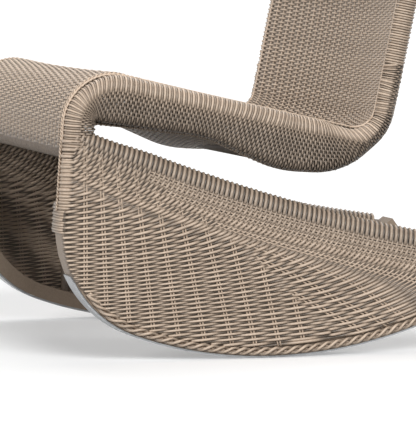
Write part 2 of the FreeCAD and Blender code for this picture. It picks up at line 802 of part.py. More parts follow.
def make_edge_wraps():
    """Wraps along the back's edges, and along the seat's edges to just below the lip."""
    back_path = bent_path(((rail_top, 0), *back_bends, (lumbar, 0)))
    end = lip_point - post_way * wrap_outer
    seat_path = bent_path(((lumbar, 0), *front_bends, (end, 0)))
    turns = {1: (-180 - WRAP_CLOSING, 90), -1: (90, 360 + WRAP_CLOSING)}
    for name, side in SIDES:
        label = f"{name}_back_wrap"
        body = new_body(f"{label}_stock")
        spine = side_sketch(body, f"{label}_path", curves_of(back_path), side * rail_x)
        section = section_sketch(body, f"{label}_section", side * rail_x, back_path)
        add_ring_part(section, *turns[side])
        add_pipe(body, f"{label}_pipe", section, spine)
        keep(cut(label, body, *back_rooms[side]))
        wires = []
        for _, point, normal in stations_on(seat_path, size("wrap_step")):
            wires.append(edge_section(point, normal, depth_to_rear(point, normal), side))
        wrap = Part.makeLoft(wires, True, True)
        room = rod(fin_path, side * rail_x, wrap_inner)
        keep(feature(f"{name}_seat_wrap", wrap.cut(room)))


def make_lip():
    """The half-round wrap under the lip tube and the woven strip behind it."""
    clear_x = rail_x - wrap_inner
    clear_text = f"{RAIL_X} - ({WRAP_INNER})"
    tilt = math.degrees(math.atan2(post_way.y, post_way.x)) - 90
    body = keep(new_body("lip_wrap"))
    section = side_sketch(body, "lip_wrap_section", [], 0)
    section.AttachmentOffset = Placement(lip_point, Rotation(Vector(0, 0, 1), tilt))
    add_ring_part(section, 180, 360)
    pad = body.newObject("PartDesign::Pad", "lip_wrap_pad")
    pad.Profile = section
    pad.SideType = "Symmetric"
    pad.Length = clear_x * 2
    pad.setExpression("Length", f"({clear_text}) * 2")

    rise = (under_post - lip_point).Length - size("lip_turn_bend") / 2
    strip = doc.addObject("Part::Box", "lip_back_weave")
    strip.setExpression("Length", f"({clear_text}) * 2")
    strip.setExpression("Width", "Sizes.weave_thickness")
    strip.Height = rise
    back = left_of(post_way) * -1
    corner = lip_point + back * wrap_inner
    up = in_space(0, post_way)
    turned = Rotation(X_AXIS, up.cross(X_AXIS), up, "ZXY")
    strip.Placement = Placement(in_space(-clear_x, corner), turned)
    keep(strip)


# Base: rocker bars, glides, fins and what joins them.
bar_path = rocker_path(
    bar_depth, size("rocker_rear_reach"), size("bar_top_height") - size("end_plate")
)
bar_solids = {}


def bar_rod(side):
    """The rocker bar as a full solid, for coping what meets it."""
    point, way = bar_path[0].at(0)
    along, out = in_space(0, way), in_space(0, left_of(way))
    middle = in_space(side * bar_x, point)
    across, up = X_AXIS * (size("bar_width") / 2), out * (size("bar_height") / 2)
    corners = [middle - across - up, middle + across - up, middle + across + up, middle - across + up]
    ring = Part.makePolygon(corners + corners[:1])
    return wire_of(bar_path, side * bar_x).makePipeShell([ring], True, False)


def rectangle_pipe(label, path, x, width, height, *hollow):
    """A bar of rectangular section along a path. width and height are (value, expression)."""
    body = keep(new_body(label))
    spine = side_sketch(body, f"{label}_path", curves_of(path), x)
    section = section_sketch(body, f"{label}_section", x, path)
    add_rectangle(section, width[0], height[0], width[1], height[1])
    for wall, wall_text in hollow:
        add_rectangle(
            section,
            width[0] - 2 * wall,
            height[0] - 2 * wall,
            f"{width[1]} - 2 * {wall_text}",
            f"{height[1]} - 2 * {wall_text}",
        )
    add_pipe(body, f"{label}_pipe", section, spine)


def sized(name):
    return size(name), f"Sizes.{name}"


def make_rockers():
    glide_path = rocker_path(
        size("glide_thickness") / 2, size("glide_rear_reach"), size("glide_front_height")
    )
    rear, rear_way = bar_path[0].at(0)
    for name, side in SIDES:
        x = side * bar_x
        bar_solids[side] = feature(f"{name}_bar_rod", bar_rod(side))
        rectangle_pipe(
            f"{name}_rocker_bar", bar_path, x, sized("bar_width"), sized("bar_height"), sized("bar_wall")
        )
        rectangle_pipe(
            f"{name}_glide", glide_path, x, sized("glide_width"), sized("glide_thickness")
        )
        for label, point, way in (
            (f"{name}_front_plate", bar_path[-1].end, Vector(0, 1, 0)),
            (f"{name}_rear_cap", rear, rear_way * -1),
        ):
            plate = keep(doc.addObject("Part::Box", label))
            for side_name, text in (
                ("Length", "Sizes.bar_width"),
                ("Width", "Sizes.bar_height"),
                ("Height", "Sizes.end_plate"),
            ):
                plate.setExpression(side_name, text)
            up = in_space(0, way)
            turned = Rotation(X_AXIS, up.cross(X_AXIS), up, "ZXY")
            half = Vector(size("bar_width") / 2, size("bar_height") / 2, 0)
            plate.Placement = Placement(in_space(x, point) - turned.multVec(half), turned)
    point = rocker_rear(size("stretcher_reach"), bar_depth)
    length = bar_x - size("bar_width") / 2
    text = "Sizes.overall_width / 2 - Sizes.weave_thickness - Sizes.fit_gap - Sizes.bar_width"
    keep(cross_tube("rear_stretcher", point, length, text))


def fin_outline():
    """The fin's woven sheet in side view, and its stretches along the post and the rail."""
    bottom = rocker_path(sheet_depth, size("rocker_rear_reach"), size("bar_top_height"))
    step_foot = lip_point - post_way * (wrap_outer + size("fit_gap"))
    step = left_of(post_way) * -(wrap_outer + size("fin_setback"))
    step_out = step_foot + step
    fin_start = Vector(step_out.x, height_at(fin_path, step_out.x), 0)
    tail_top = rocker_rear(size("rocker_rear_reach"), bar_top_depth)
    tail_foot = rocker_rear(size("fin_rail_rear_reach"), bar_top_depth)
    post_run = Run(post_foot, step_foot)
    rail_bend = Bend(fin_centre, fin_start, fin_rear)
    outline = [
        *bottom,
        Run(bottom[-1].end, post_foot),
        post_run,
        Run(step_foot, step_out),
        Run(step_out, fin_start),
        rail_bend,
        Run(fin_rear, tail_foot),
        Bend(rear_centre, tail_foot, tail_top),
        Run(tail_top, bottom[0].start),
    ]
    return outline, post_run, rail_bend


def make_fins():
    braid_path = rocker_path(braid_depth, size("rocker_rear_reach"), size("bar_top_height"))
    braid_x = half_width - size("weave_thickness") + size("braid_thickness") / 2
    outline, post_run, rail_bend = fin_outline()
    for name, side in SIDES:
        label = f"{name}_fin_weave"
        body = keep(new_body(label))
        inner_x = half_width - size("weave_thickness") if side > 0 else -half_width
        sheet_sketch = side_sketch(body, f"{label}_outline", curves_of(outline), inner_x)
        pad = body.newObject("PartDesign::Pad", f"{label}_pad")
        pad.Profile = sheet_sketch
        pad.Length = size("weave_thickness")
        pad.setExpression("Length", "Sizes.weave_thickness")
        for part, path in (("front_hem", [post_run]), ("top_hem", [rail_bend])):
            spine = side_sketch(body, f"{label}_{part}_path", curves_of(path), side * rail_x)
            section = section_sketch(body, f"{label}_{part}_section", side * rail_x, path)
            add_ring_part(section, 180, 360)
            add_pipe(body, f"{label}_{part}", section, spine)
        rectangle_pipe(
            f"{name}_border_braid",
            braid_path,
            side * braid_x,
            sized("braid_thickness"),
            sized("braid_height"),
        )
        rail = tube_body(f"{name}_fin_stock", fin_path, side * rail_x, TUBE_RADIUS)
        keep(cut(f"{name}_fin_rail", rail, upper_rods[side], bar_solids[side]))
        fin_rod = feature(f"{name}_fin_rod", rod(fin_path, side * rail_x, tube_radius))
        for place in ("front", "rear"):
            y = spot(size(f"fin_upright_{place}"), 0).x
            foot = in_space(side * rail_x, Vector(y, height_at(bar_path, y), 0))
            top = in_space(side * rail_x, Vector(y, height_at(fin_path, y), 0))
            label = f"{name}_{place}_upright"
            keep(strut(label, foot, top, SLIM_RADIUS, fin_rod, bar_solids[side]))


make_rails()
make_top_bow()
make_cross_tubes()
make_back_tubes()
make_faces()
make_edge_wraps()
make_lip()
make_rockers()
make_fins()
doc.recompute()

for obj in doc.Objects:
    if "Invalid" in obj.State or "Error" in obj.State:
        raise RuntimeError(f"{obj.Label} failed: {obj.State}")
for node in nodes:
    if node.Shape.isNull() or not node.Shape.isValid() or not node.Shape.Solids:
        raise RuntimeError(f"{node.Label} has no valid solid")

os.makedirs("parts", exist_ok=True)
for node in nodes:
    node.Shape.exportStep(f"parts/{node.Label}.step")
print(len(nodes), "nodes")
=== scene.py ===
"""Looks of an outdoor rocking chair: woven seat, back and side fins, painted rockers and metal glides.

The chair faces -Y and stands on the floor at Z = 0. X = 0 is its plane of symmetry and +X is the
sitter's left. Side views are (y, z) pairs. Lengths are in metres and angles in degrees.
"""

import math

import bmesh
import bpy
import numpy as np
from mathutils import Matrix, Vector


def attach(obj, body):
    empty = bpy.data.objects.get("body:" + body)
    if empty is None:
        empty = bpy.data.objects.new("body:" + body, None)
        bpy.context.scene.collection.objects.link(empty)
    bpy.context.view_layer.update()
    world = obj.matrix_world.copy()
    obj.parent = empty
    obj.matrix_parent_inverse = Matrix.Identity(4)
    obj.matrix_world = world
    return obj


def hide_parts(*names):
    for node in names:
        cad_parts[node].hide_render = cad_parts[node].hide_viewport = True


bl_info = {
    "name": "Woven Rocking Chair",
    "version": (1, 0, 0),
    "blender": (4, 5, 0),
    "location": "View3D > Sidebar > Rocking Chair",
    "description": "Weaves the seat, back and fins of an outdoor rocking chair round its frame",
    "category": "Object",
}

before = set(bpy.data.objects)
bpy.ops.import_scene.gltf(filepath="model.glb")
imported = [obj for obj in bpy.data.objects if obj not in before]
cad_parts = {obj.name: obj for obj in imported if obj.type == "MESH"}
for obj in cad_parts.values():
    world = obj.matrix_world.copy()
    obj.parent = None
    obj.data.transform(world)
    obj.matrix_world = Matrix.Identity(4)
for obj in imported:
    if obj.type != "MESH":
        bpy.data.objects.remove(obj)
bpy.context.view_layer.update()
SIDES = (("left", 1), ("right", -1))
SEEDS = {
    "faces": 10,
    "underside": 20,
    "rolls": 30,
    "back_edges": 40,
    "top_border": 43,
    "lip": 51,
    "lumbar": 52,
    "fins": 60,
    "braids": 70,
    "seams": 80,
}

# The frame's outline in side view, as the frame was made. y counts from where the rockers touch the
# floor, and CONTACT_Y is that point's place.
CONTACT_Y = -0.04594
WRAP_REACH = 0.0153
RAIL_X = 0.3147
FIN_X = 0.3285
SEAT_CORNER = (0.171, 0.316)
SEAT_LENGTH = 0.472
SEAT_SLOPE = 12.8
BACK_RECLINE = 12.1
UPPER_RECLINE = 18.0
BACK_BEND_HEIGHT = 0.590
BACK_TOP_HEIGHT = 0.834
SEAT_BEND = 0.045
CREST_BEND = 0.060
BACK_BEND = 0.700
BOW_BEND = 0.090
LUMBAR_RISE = 0.115
LIP_DROP = 0.1076
UNDER_POST_DROP = 0.0526
POST_FOOT = (-0.3017, 0.225)
UNDER_FRONT = (0.270, 0.035, 0.200)
BELLY = (0.155, 0.060, 0.150)
BELLY_REAR = (0.060, 0.045, 0.095)
REAR_TURN_RISE = 0.025
REAR_TURN_BEND = 0.065
LIP_TURN_BEND = 0.022
SEAT_SAG = 0.034
CREST_FADE = 0.220
TOP_FADE = 0.280
UNDER_FADE_START = 0.100
UNDER_FADE = 0.090
ROCKER_FRONT_RADIUS = 0.600
ROCKER_REAR_RADIUS = 0.700
ROCKER_NOSE_RADIUS = 0.170
ROCKER_FRONT_REACH = 0.316
ROCKER_REAR_REACH = 0.400
FIN_FRONT_DROP = 0.0896
FIN_REAR = (0.372, 0.1383)
FIN_HANG = 0.024


class WeaveSizes(bpy.types.PropertyGroup):
    """Sizes of the strands and of the steps between them"""

    weft_radius: bpy.props.FloatProperty(
        name="Weft Radius", description="Radius of the strands woven across the seat and back",
        default=0.00172, unit="LENGTH")
    weft_pitch: bpy.props.FloatProperty(
        name="Weft Pitch", description="Step from one row of the seat and back to the next",
        default=0.0035, unit="LENGTH")
    weft_wave: bpy.props.FloatProperty(
        name="Weft Wave", description="How far a row rises and falls at the stakes",
        default=0.0023, unit="LENGTH")
    stake_radius: bpy.props.FloatProperty(
        name="Stake Radius", description="Radius of the lengthwise strands",
        default=0.0020, unit="LENGTH")
    stake_pitch: bpy.props.FloatProperty(
        name="Stake Pitch", description="Step from one stake of the seat and back to the next",
        default=0.022, unit="LENGTH")
    wrap_radius: bpy.props.FloatProperty(
        name="Wrap Radius", description="Radius of the strands that wrap the edges",
        default=0.0019, unit="LENGTH")
    wrap_pitch: bpy.props.FloatProperty(
        name="Wrap Pitch", description="Step from one edge wrap to the next",
        default=0.00378, unit="LENGTH")
    roll_stake_pitch: bpy.props.FloatProperty(
        name="Roll Stake Pitch", description="Step between the stakes in the seat's rolled edges",
        default=0.0056, unit="LENGTH")
    fin_weft_radius: bpy.props.FloatProperty(
        name="Fin Weft Radius", description="Radius of the strands woven along the fins",
        default=0.0019, unit="LENGTH")
    fin_weft_pitch: bpy.props.FloatProperty(
        name="Fin Weft Pitch", description="Step between the fin's long strands at its top edge",
        default=0.0078, unit="LENGTH")
    fin_wave: bpy.props.FloatProperty(
        name="Fin Wave", description="How far a fin's strand rises and falls at the stakes",
        default=0.0020, unit="LENGTH")


class ChairColours(bpy.types.PropertyGroup):
    """Colours of the chair's finishes"""

    strand_light: bpy.props.FloatVectorProperty(
        name="Strand Light", description="Lightest strand", subtype="COLOR",
        default=(0.68, 0.535, 0.41), min=0, max=1)
    strand_dark: bpy.props.FloatVectorProperty(
        name="Strand Dark", description="Darkest strand", subtype="COLOR",
        default=(0.46, 0.35, 0.26), min=0, max=1)
    bar_paint: bpy.props.FloatVectorProperty(
        name="Bar Paint", description="Paint of the rocker bars", subtype="COLOR",
        default=(0.27, 0.20, 0.145), min=0, max=1)
    bar_worn: bpy.props.FloatVectorProperty(
        name="Bar Worn", description="Rubbed paint of the rocker bars", subtype="COLOR",
        default=(0.34, 0.265, 0.195), min=0, max=1)
    # The hidden tubes are coloured dark so that the gaps in the weave read dark: painted shade, with
    # paler rubbed patches for wear.
    tube_painted_shade: bpy.props.FloatVectorProperty(
        name="Tube Finish", description="Powder coat of the hidden tubes", subtype="COLOR",
        default=(0.12, 0.09, 0.065), min=0, max=1)
    tube_worn_painted_shade: bpy.props.FloatVectorProperty(
        name="Tube Worn", description="Rubbed powder coat of the hidden tubes", subtype="COLOR",
        default=(0.17, 0.13, 0.10), min=0, max=1)
    glide_metal: bpy.props.FloatVectorProperty(
        name="Glide Metal", description="Metal of the glides", subtype="COLOR",
        default=(0.44, 0.45, 0.46), min=0, max=1)
    glide_worn: bpy.props.FloatVectorProperty(
        name="Glide Brushing", description="Darker lines in the metal of the glides", subtype="COLOR",
        default=(0.30, 0.31, 0.32), min=0, max=1)


# Side-view lines.
def turned(degrees):
    return np.array([math.cos(math.radians(degrees)), math.sin(math.radians(degrees))])


def left_of(way):
    return np.stack([-way[..., 1], way[..., 0]], -1)


class Line:
    """A side-view line read by distance along it."""

    def __init__(self, places):
        self.places = np.array(places, float)
        steps = np.linalg.norm(np.diff(self.places, axis=0), axis=1)
        self.runs = np.concatenate(([0.0], np.cumsum(steps)))
        self.length = self.runs[-1]

    def at(self, distance):
        """Places and unit ways at distances."""
        distance = np.asarray(distance, float)
        reach = 0.0005
        place, before, after = (
            np.stack([np.interp(d, self.runs, axis) for axis in self.places.T], -1)
            for d in (distance, distance - reach, distance + reach)
        )
        way = after - before
        return place, way / np.linalg.norm(way, axis=-1, keepdims=True)

    def nearest(self, place):
        """Distance along the line of the place nearest to each of the places given."""
        gaps = np.linalg.norm(self.places[None, :, :] - np.asarray(place)[:, None, :], axis=2)
        return self.runs[np.argmin(gaps, axis=1)]


def arc_places(centre, start, end, step=2.0):
    """Places round a centre by the shorter way, a few degrees apart."""
    first = math.degrees(math.atan2(*(start - centre)[::-1]))
    last = math.degrees(math.atan2(*(end - centre)[::-1]))
    turn = (last - first + 180) % 360 - 180
    count = max(2, math.ceil(abs(turn) / step) + 1)
    radius = np.linalg.norm(start - centre)
    return [centre + turned(angle) * radius for angle in np.linspace(first, first + turn, count)]


def bent_line(corners, spacing=0.004):
    """Straight runs joined by round bends, as close places. A corner is (place, bend radius)."""
    places = [corners[0][0]]
    for (before, _), (corner, radius), (after, _) in zip(corners, corners[1:], corners[2:]):
        way_in = (corner - before) / np.linalg.norm(corner - before)
        way_out = (after - corner) / np.linalg.norm(after - corner)
        cross = way_in[0] * way_out[1] - way_in[1] * way_out[0]
        bend = math.atan2(cross, way_in @ way_out)
        reach = radius * math.tan(abs(bend) / 2)
        start, end = corner - way_in * reach, corner + way_out * reach
        centre = start + left_of(way_in) * radius * math.copysign(1, bend)
        places += arc_places(centre, start, end)
    places.append(corners[-1][0])
    close = [places[0]]
    for here, after in zip(places, places[1:]):
        count = max(1, math.ceil(np.linalg.norm(after - here) / spacing))
        close += [here + (after - here) * share for share in np.linspace(0, 1, count + 1)[1:]]
    return Line(close)


def spot(y, z):
    return np.array([CONTACT_Y + y, z])


def to_height(start, way, height):
    return start + way * ((height - start[1]) / way[1])


seat_way = turned(180 - SEAT_SLOPE)
lower_back_way = turned(90 - BACK_RECLINE)
upper_back_way = turned(90 - UPPER_RECLINE)
seat_corner = spot(*SEAT_CORNER)
crest_corner = seat_corner + seat_way * SEAT_LENGTH
back_corner = to_height(seat_corner, lower_back_way, BACK_BEND_HEIGHT)
back_top = to_height(back_corner, upper_back_way, BACK_TOP_HEIGHT)
rail_top = back_top - upper_back_way * BOW_BEND
lumbar = to_height(seat_corner, lower_back_way, SEAT_CORNER[1] + LUMBAR_RISE)
post_foot = spot(*POST_FOOT)
post_way = (crest_corner - post_foot) / np.linalg.norm(crest_corner - post_foot)
lip_point = to_height(post_foot, post_way, crest_corner[1] - LIP_DROP)
under_post = to_height(post_foot, post_way, crest_corner[1] - UNDER_POST_DROP)
rear_turn = to_height(seat_corner, lower_back_way, SEAT_CORNER[1] + REAR_TURN_RISE)


def under_seat(run, depth, bend):
    """A corner below the seat rail, at a run from its rear corner."""
    return seat_corner + seat_way * run - np.array([0, depth]), bend


# The rail's centre line from the top bow to the lip, and the line of the underside.
rail_line = bent_line(
    (
        (back_top, 0),
        (back_corner, BACK_BEND),
        (seat_corner, SEAT_BEND),
        (crest_corner, CREST_BEND),
        (lip_point, 0),
    )
)
under_line = bent_line(
    (
        (lumbar, 0),
        (rear_turn, REAR_TURN_BEND),
        under_seat(*BELLY_REAR),
        under_seat(*BELLY),
        under_seat(*UNDER_FRONT),
        (under_post, LIP_TURN_BEND),
        (lip_point, 0),
    )
)
LUMBAR_RUN = float(rail_line.nearest([lumbar])[0])
CREST_RUN = float(rail_line.nearest([crest_corner])[0])
UNDER_CREST_RUN = float(under_line.nearest([under_post])[0])

ARC_STEP = 0.5
FIN_ARC_STEP = 0.1
front_centre = spot(0, ROCKER_FRONT_RADIUS)
rear_centre = spot(0, ROCKER_REAR_RADIUS)
nose_turn = math.asin(
    (ROCKER_FRONT_REACH - ROCKER_NOSE_RADIUS) / (ROCKER_FRONT_RADIUS - ROCKER_NOSE_RADIUS)
)
nose_way = turned(270 - math.degrees(nose_turn))
nose_centre = front_centre + nose_way * (ROCKER_FRONT_RADIUS - ROCKER_NOSE_RADIUS)


def rocker_line(depth, rear_reach, front_height):
    """The rocker's line at a depth inside its running surface, from the rear to a height in front."""
    rear = rear_centre + np.array(
        [rear_reach, -math.sqrt((ROCKER_REAR_RADIUS - depth) ** 2 - rear_reach**2)]
    )
    bottom = spot(0, depth)
    bend = front_centre + nose_way * (ROCKER_FRONT_RADIUS - depth)
    places = arc_places(rear_centre, rear, bottom, ARC_STEP)
    places += arc_places(front_centre, bottom, bend, ARC_STEP)
    radius = ROCKER_NOSE_RADIUS - depth
    drop = nose_centre[1] - front_height
    if drop > 0:
        front = nose_centre + np.array([-math.sqrt(radius**2 - drop**2), -drop])
        return Line(places + arc_places(nose_centre, bend, front, ARC_STEP))
    foremost = nose_centre - np.array([radius, 0])
    places += arc_places(nose_centre, bend, foremost, ARC_STEP)
    return Line(places + [foremost - np.array([0, drop])])


fin_front = to_height(post_foot, post_way, crest_corner[1] - FIN_FRONT_DROP)
fin_rear = spot(*FIN_REAR)
fin_chord = fin_rear - fin_front
fin_radius = (fin_chord @ fin_chord / 4 + FIN_HANG**2) / (2 * FIN_HANG)
fin_centre = (fin_front + fin_rear) / 2 + left_of(fin_chord) / np.linalg.norm(fin_chord) * (
    fin_radius - FIN_HANG
)
fin_line = Line(arc_places(fin_centre, fin_front, fin_rear, FIN_ARC_STEP))


def smooth(share):
    share = np.clip(share, 0.0, 1.0)
    return share * share * (3 - 2 * share)


# Strands: every woven piece is a set of round strands along given places.
LEAST_STEP = 0.0002
RADIUS_SPREAD = (0.95, 1.05)
# Strands are painted darker in the grooves between them: painted shade laid into their colour.
GROOVE_PAINTED_SHADE = 0.24
GROOVE_END = 0.9


def painted_groove_shade(away, out, outer, inner):
    """Painted shade round a strand: full where it faces out of the weave or into it, darkened in the
    grooves as shade.
    """
    proud = np.sum(away * out, axis=1) / np.linalg.norm(away, axis=1)
    shade = GROOVE_PAINTED_SHADE + (1 - GROOVE_PAINTED_SHADE) * smooth(np.abs(proud) / GROOVE_END)
    shade = np.where(np.any(out != 0, axis=1), shade, 1.0)
    return shade * np.where(proud < 0, inner, outer)


class Strands:
    """The strands of one piece, each a run of places in space with its own tone."""

    def __init__(self, name, radius, seed):
        self.name = name
        self.radius = radius
        self.chance = np.random.default_rng(seed)
        self.runs = []

    def lay(self, places, thickness=1.0, shade=1.0, out=(0, 0, 0), inner=None):
        """Adds a strand. Each value is for all of it or for each place: its thickness, its painted
        shade, the way out of the weave, and the painted shade of its inner side where that differs."""
        places = np.asarray(places, float)
        steps = np.linalg.norm(np.diff(places, axis=0), axis=1)
        apart = np.concatenate(([True], steps > LEAST_STEP))
        swell = np.broadcast_to(thickness, len(places))[apart] * self.chance.uniform(*RADIUS_SPREAD)
        inner = np.broadcast_to(shade if inner is None else inner, len(places))[apart]
        shade = np.broadcast_to(shade, len(places))[apart]
        out = np.broadcast_to(out, places.shape)[apart]
        self.runs.append((places[apart], self.chance.uniform(0.0, 1.0), swell, (shade, inner), out))

    def piece(self, sides=6):
        """The strands as one closed mesh object, with each strand's tone and its painted shade as
        attributes.
        """
        curve = bpy.data.curves.new(self.name, "CURVE")
        curve.dimensions = "3D"
        curve.bevel_depth = self.radius
        curve.bevel_resolution = sides // 2 - 2
        tones, shades, centres, outs = [], [], [], []
        for places, tone, swell, both_shades, out in self.runs:
            count = len(places)
            spline = curve.splines.new("POLY")
            spline.points.add(count - 1)
            spline.points.foreach_set("co", np.c_[places, np.ones(count)].ravel())
            spline.points.foreach_set("radius", swell)
            tones.append(np.full(count * sides, tone))
            shades.append(np.repeat(both_shades, sides, axis=1))
            centres.append(np.repeat(places, sides, axis=0))
            outs.append(np.repeat(out, sides, axis=0))
        holder = bpy.data.objects.new(self.name + "_line", curve)
        bpy.context.scene.collection.objects.link(holder)
        bpy.context.view_layer.update()
        mesh = bpy.data.meshes.new_from_object(holder)
        bpy.data.objects.remove(holder)
        bpy.data.curves.remove(curve)
        tones = np.concatenate(tones)
        if len(mesh.vertices) != len(tones):
            raise RuntimeError(f"{self.name}: {len(mesh.vertices)} vertices for {len(tones)} tones")
        mesh.name = self.name
        corners = np.empty(len(tones) * 3)
        mesh.vertices.foreach_get("co", corners)
        away = corners.reshape(-1, 3) - np.concatenate(centres)
        shades = painted_groove_shade(away, np.concatenate(outs), *np.concatenate(shades, axis=1))
        for name, values in (("strand_tone", tones), ("strand_painted_shade", shades)):
            mesh.attributes.new(name, "FLOAT", "POINT").data.foreach_set("value", values)
        shape = bmesh.new()
        shape.from_mesh(mesh)
        ends = [edge for edge in shape.edges if edge.is_boundary]
        bmesh.ops.holes_fill(shape, edges=ends, sides=sides)
        shape.to_mesh(mesh)
        shape.free()
        made = bpy.data.objects.new(self.name, mesh)
        bpy.context.scene.collection.objects.link(made)
        return made


def finish_strands(strands, *nodes):
    """Makes a piece of its strands, hangs it on the root body and hides the CAD nodes it stands for."""
    piece = strands.piece()
    piece.data.materials.append(strand_finish())
    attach(piece, "root")
    if nodes:
        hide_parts(*nodes)


def in_space(x, places):
    """Side-view places at x."""
    places = np.asarray(places, float)
    x = np.broadcast_to(x, places.shape[:-1])
    return np.concatenate([x[..., None], places], -1)


# Faces. UNDER_ARCH is in the looks only: the frame's underside is flat across there.
FACE_SINK = 0.0010
UNDER_ARCH = 0.022
UNDER_ARCH_FADE = 0.12
WAVE_FULLNESS = 0.7
WAVE_SPREAD = (0.9, 1.1)
FINE_STEP = 0.001
FACE_PARTS = 3
FACE_EDGE = 0.004
FACE_TUCK = 0.010
FACE_TUCK_DEPTH = 0.003
UNDER_PARTS = 2
UNDER_PITCH = 0.0039
ROW_FILL = 0.50
ROW_RADII = (0.0011, 0.0021)
# Core strands between the rows are painted dark: painted shade in the grooves.
CORE_RADIUS = 0.0012
CORE_PAINTED_SHADE = 0.30
# A woven strand is painted darker where it dives under, as shade, and a little lighter on its crest, as
# painted light.
CREASE_PAINTED_SHADE = 0.24
CREASE_PAINTED_GAIN = 0.84
# The nose's last rows are painted darker where they turn under towards the lip: painted shade.
NOSE_PAINTED_SHADE = 0.6
NOSE_PAINTED_SHADE_START = 0.025
NOSE_PAINTED_SHADE_REACH = 0.03
STAKE_POINTS = 0.012
STAKE_CLEAR = 0.002


def face_sag(from_top, from_crest):
    return SEAT_SAG * smooth(from_top / TOP_FADE) * smooth(from_crest / CREST_FADE)


def face_place(line, facing, sag, distance, x, lift):
    """Places on a dished face: x across it, lift out of it."""
    place, way = line.at(distance)
    out = -left_of(way) * facing
    dip = sag(distance) * (1 - (x / RAIL_X) ** 2) * facing
    raised = place + out * (WRAP_REACH - FACE_SINK + lift - dip)[..., None]
    return np.concatenate([np.asarray(x)[..., None], raised], -1)


def front_sag(distance):
    return face_sag(distance - BOW_BEND, CREST_RUN - distance)


def under_sag(distance):
    """Dish of the underside: that of the back at the lumbar tube, and arched up under the seat."""
    start = front_sag(np.array([LUMBAR_RUN]))[0]
    flat = smooth((distance - UNDER_FADE_START) / UNDER_FADE)
    front = smooth((UNDER_CREST_RUN - distance) / UNDER_ARCH_FADE)
    return start * (1 - flat) - UNDER_ARCH * flat * front


def half_span(distance):
    """Half the width of the sitting face: less inside the rounded top corners."""
    up = np.clip(BOW_BEND - distance, 0, BOW_BEND)
    return RAIL_X - BOW_BEND + np.sqrt(np.maximum(BOW_BEND**2 - up**2, 0))


def wave(phase):
    """A rounded wave with full crests."""
    swing = np.cos(phase)
    return np.sign(swing) * np.abs(swing) ** WAVE_FULLNESS


def row_places(line, facing, sag, first, last, pitch):
    """Distances of the rows of a face, with their gaps at mid width and at its edges."""
    fine = np.arange(first, last, FINE_STEP)
    level = np.zeros(len(fine))
    middle = face_place(line, facing, sag, fine, level, level)
    edge = face_place(line, facing, sag, fine, level + RAIL_X, level)
    middle_step = np.linalg.norm(np.gradient(middle, axis=0), axis=1)
    edge_step = np.linalg.norm(np.gradient(edge, axis=0), axis=1)
    longer = np.maximum(middle_step, edge_step)
    travelled = np.cumsum(longer) / pitch
    rows = np.interp(np.arange(travelled[0] + 0.5, travelled[-1], 1.0), travelled, fine)
    share = pitch / longer
    return rows, np.interp(rows, fine, middle_step * share), np.interp(rows, fine, edge_step * share)


def painted_crease_shade(lift, height):
    """Painted shade of a woven strand: a little lighter than full where it is proud, and dark as shade
    where it dives under.
    """
    return CREASE_PAINTED_SHADE + CREASE_PAINTED_GAIN * smooth((lift / height + 1) / 2)


def weave_face(strands, line, facing, sag, first, last, parts=FACE_PARTS, pitch=None):
    """Rows across a face, over and under its stakes, with a thin core strand beside each row, painted
    dark as the shade in the groove.
    """
    sizes = bpy.context.scene.chair_weave
    step = sizes.stake_pitch / parts
    rows = row_places(line, facing, sag, first, last, pitch or sizes.weft_pitch)
    nose_end = rail_line.length - NOSE_PAINTED_SHADE_START if facing > 0 else line.length
    for row, (distance, middle_gap, edge_gap) in enumerate(zip(*rows)):
        span = (half_span(distance) if facing > 0 else RAIL_X) - FACE_EDGE
        count = int(span / step)
        x = np.concatenate(([-span], np.arange(-count, count + 1) * step, [span]))
        height = sizes.weft_wave * strands.chance.uniform(*WAVE_SPREAD)
        lift = height * wave(math.pi * x / sizes.stake_pitch + math.pi * row)
        dim = 1 - NOSE_PAINTED_SHADE * smooth((distance - nose_end) / NOSE_PAINTED_SHADE_REACH)
        shade, inner = painted_crease_shade(lift, height) * dim, painted_crease_shade(-lift, height)
        lift = lift - FACE_TUCK_DEPTH * smooth((np.abs(x) - span) / FACE_TUCK + 1)
        places = face_place(line, facing, sag, np.full(len(x), distance), x, lift)
        _, way = line.at(distance)
        gap = middle_gap + (edge_gap - middle_gap) * (x / RAIL_X) ** 2
        thickness = np.clip(gap * ROW_FILL, *ROW_RADII) / sizes.weft_radius
        strands.lay(places, thickness, shade, (0, *(-left_of(way) * facing)), inner)
        core = np.full(len(x[::parts]), distance + middle_gap / 2)
        places = face_place(line, facing, sag, core, x[::parts], np.zeros(len(core)))
        strands.lay(places, CORE_RADIUS / sizes.weft_radius, CORE_PAINTED_SHADE)


def stake_face(strands, line, facing, sag, first, last):
    """Stakes along a face."""
    sizes = bpy.context.scene.chair_weave
    count = int(RAIL_X / sizes.stake_pitch)
    distance = np.linspace(first, last, int((last - first) / STAKE_POINTS) + 2)
    for number in range(-count, count + 1):
        x = np.full(len(distance), number * sizes.stake_pitch)
        places = face_place(line, facing, sag, distance, x, np.zeros(len(x)))
        if facing > 0:
            places = places[np.abs(x) < half_span(distance) - STAKE_CLEAR]
        strands.lay(places, sizes.stake_radius / strands.radius)


# Operators. The sitting face is woven in four pieces, each between two distances along the rail.
BACK_START = 0.004
WAIST_START = LUMBAR_RUN - 0.180
SEAT_START = LUMBAR_RUN + 0.095
NOSE_START = CREST_RUN - 0.075
FACES = (
    ("back_face_weave", BACK_START, WAIST_START, ("front_weave",)),
    ("waist_face_weave", WAIST_START, SEAT_START, ()),
    ("seat_face_weave", SEAT_START, NOSE_START, ()),
    ("nose_weave", NOSE_START, rail_line.length, ()),
)
UNDER_END = UNDER_CREST_RUN + 0.03


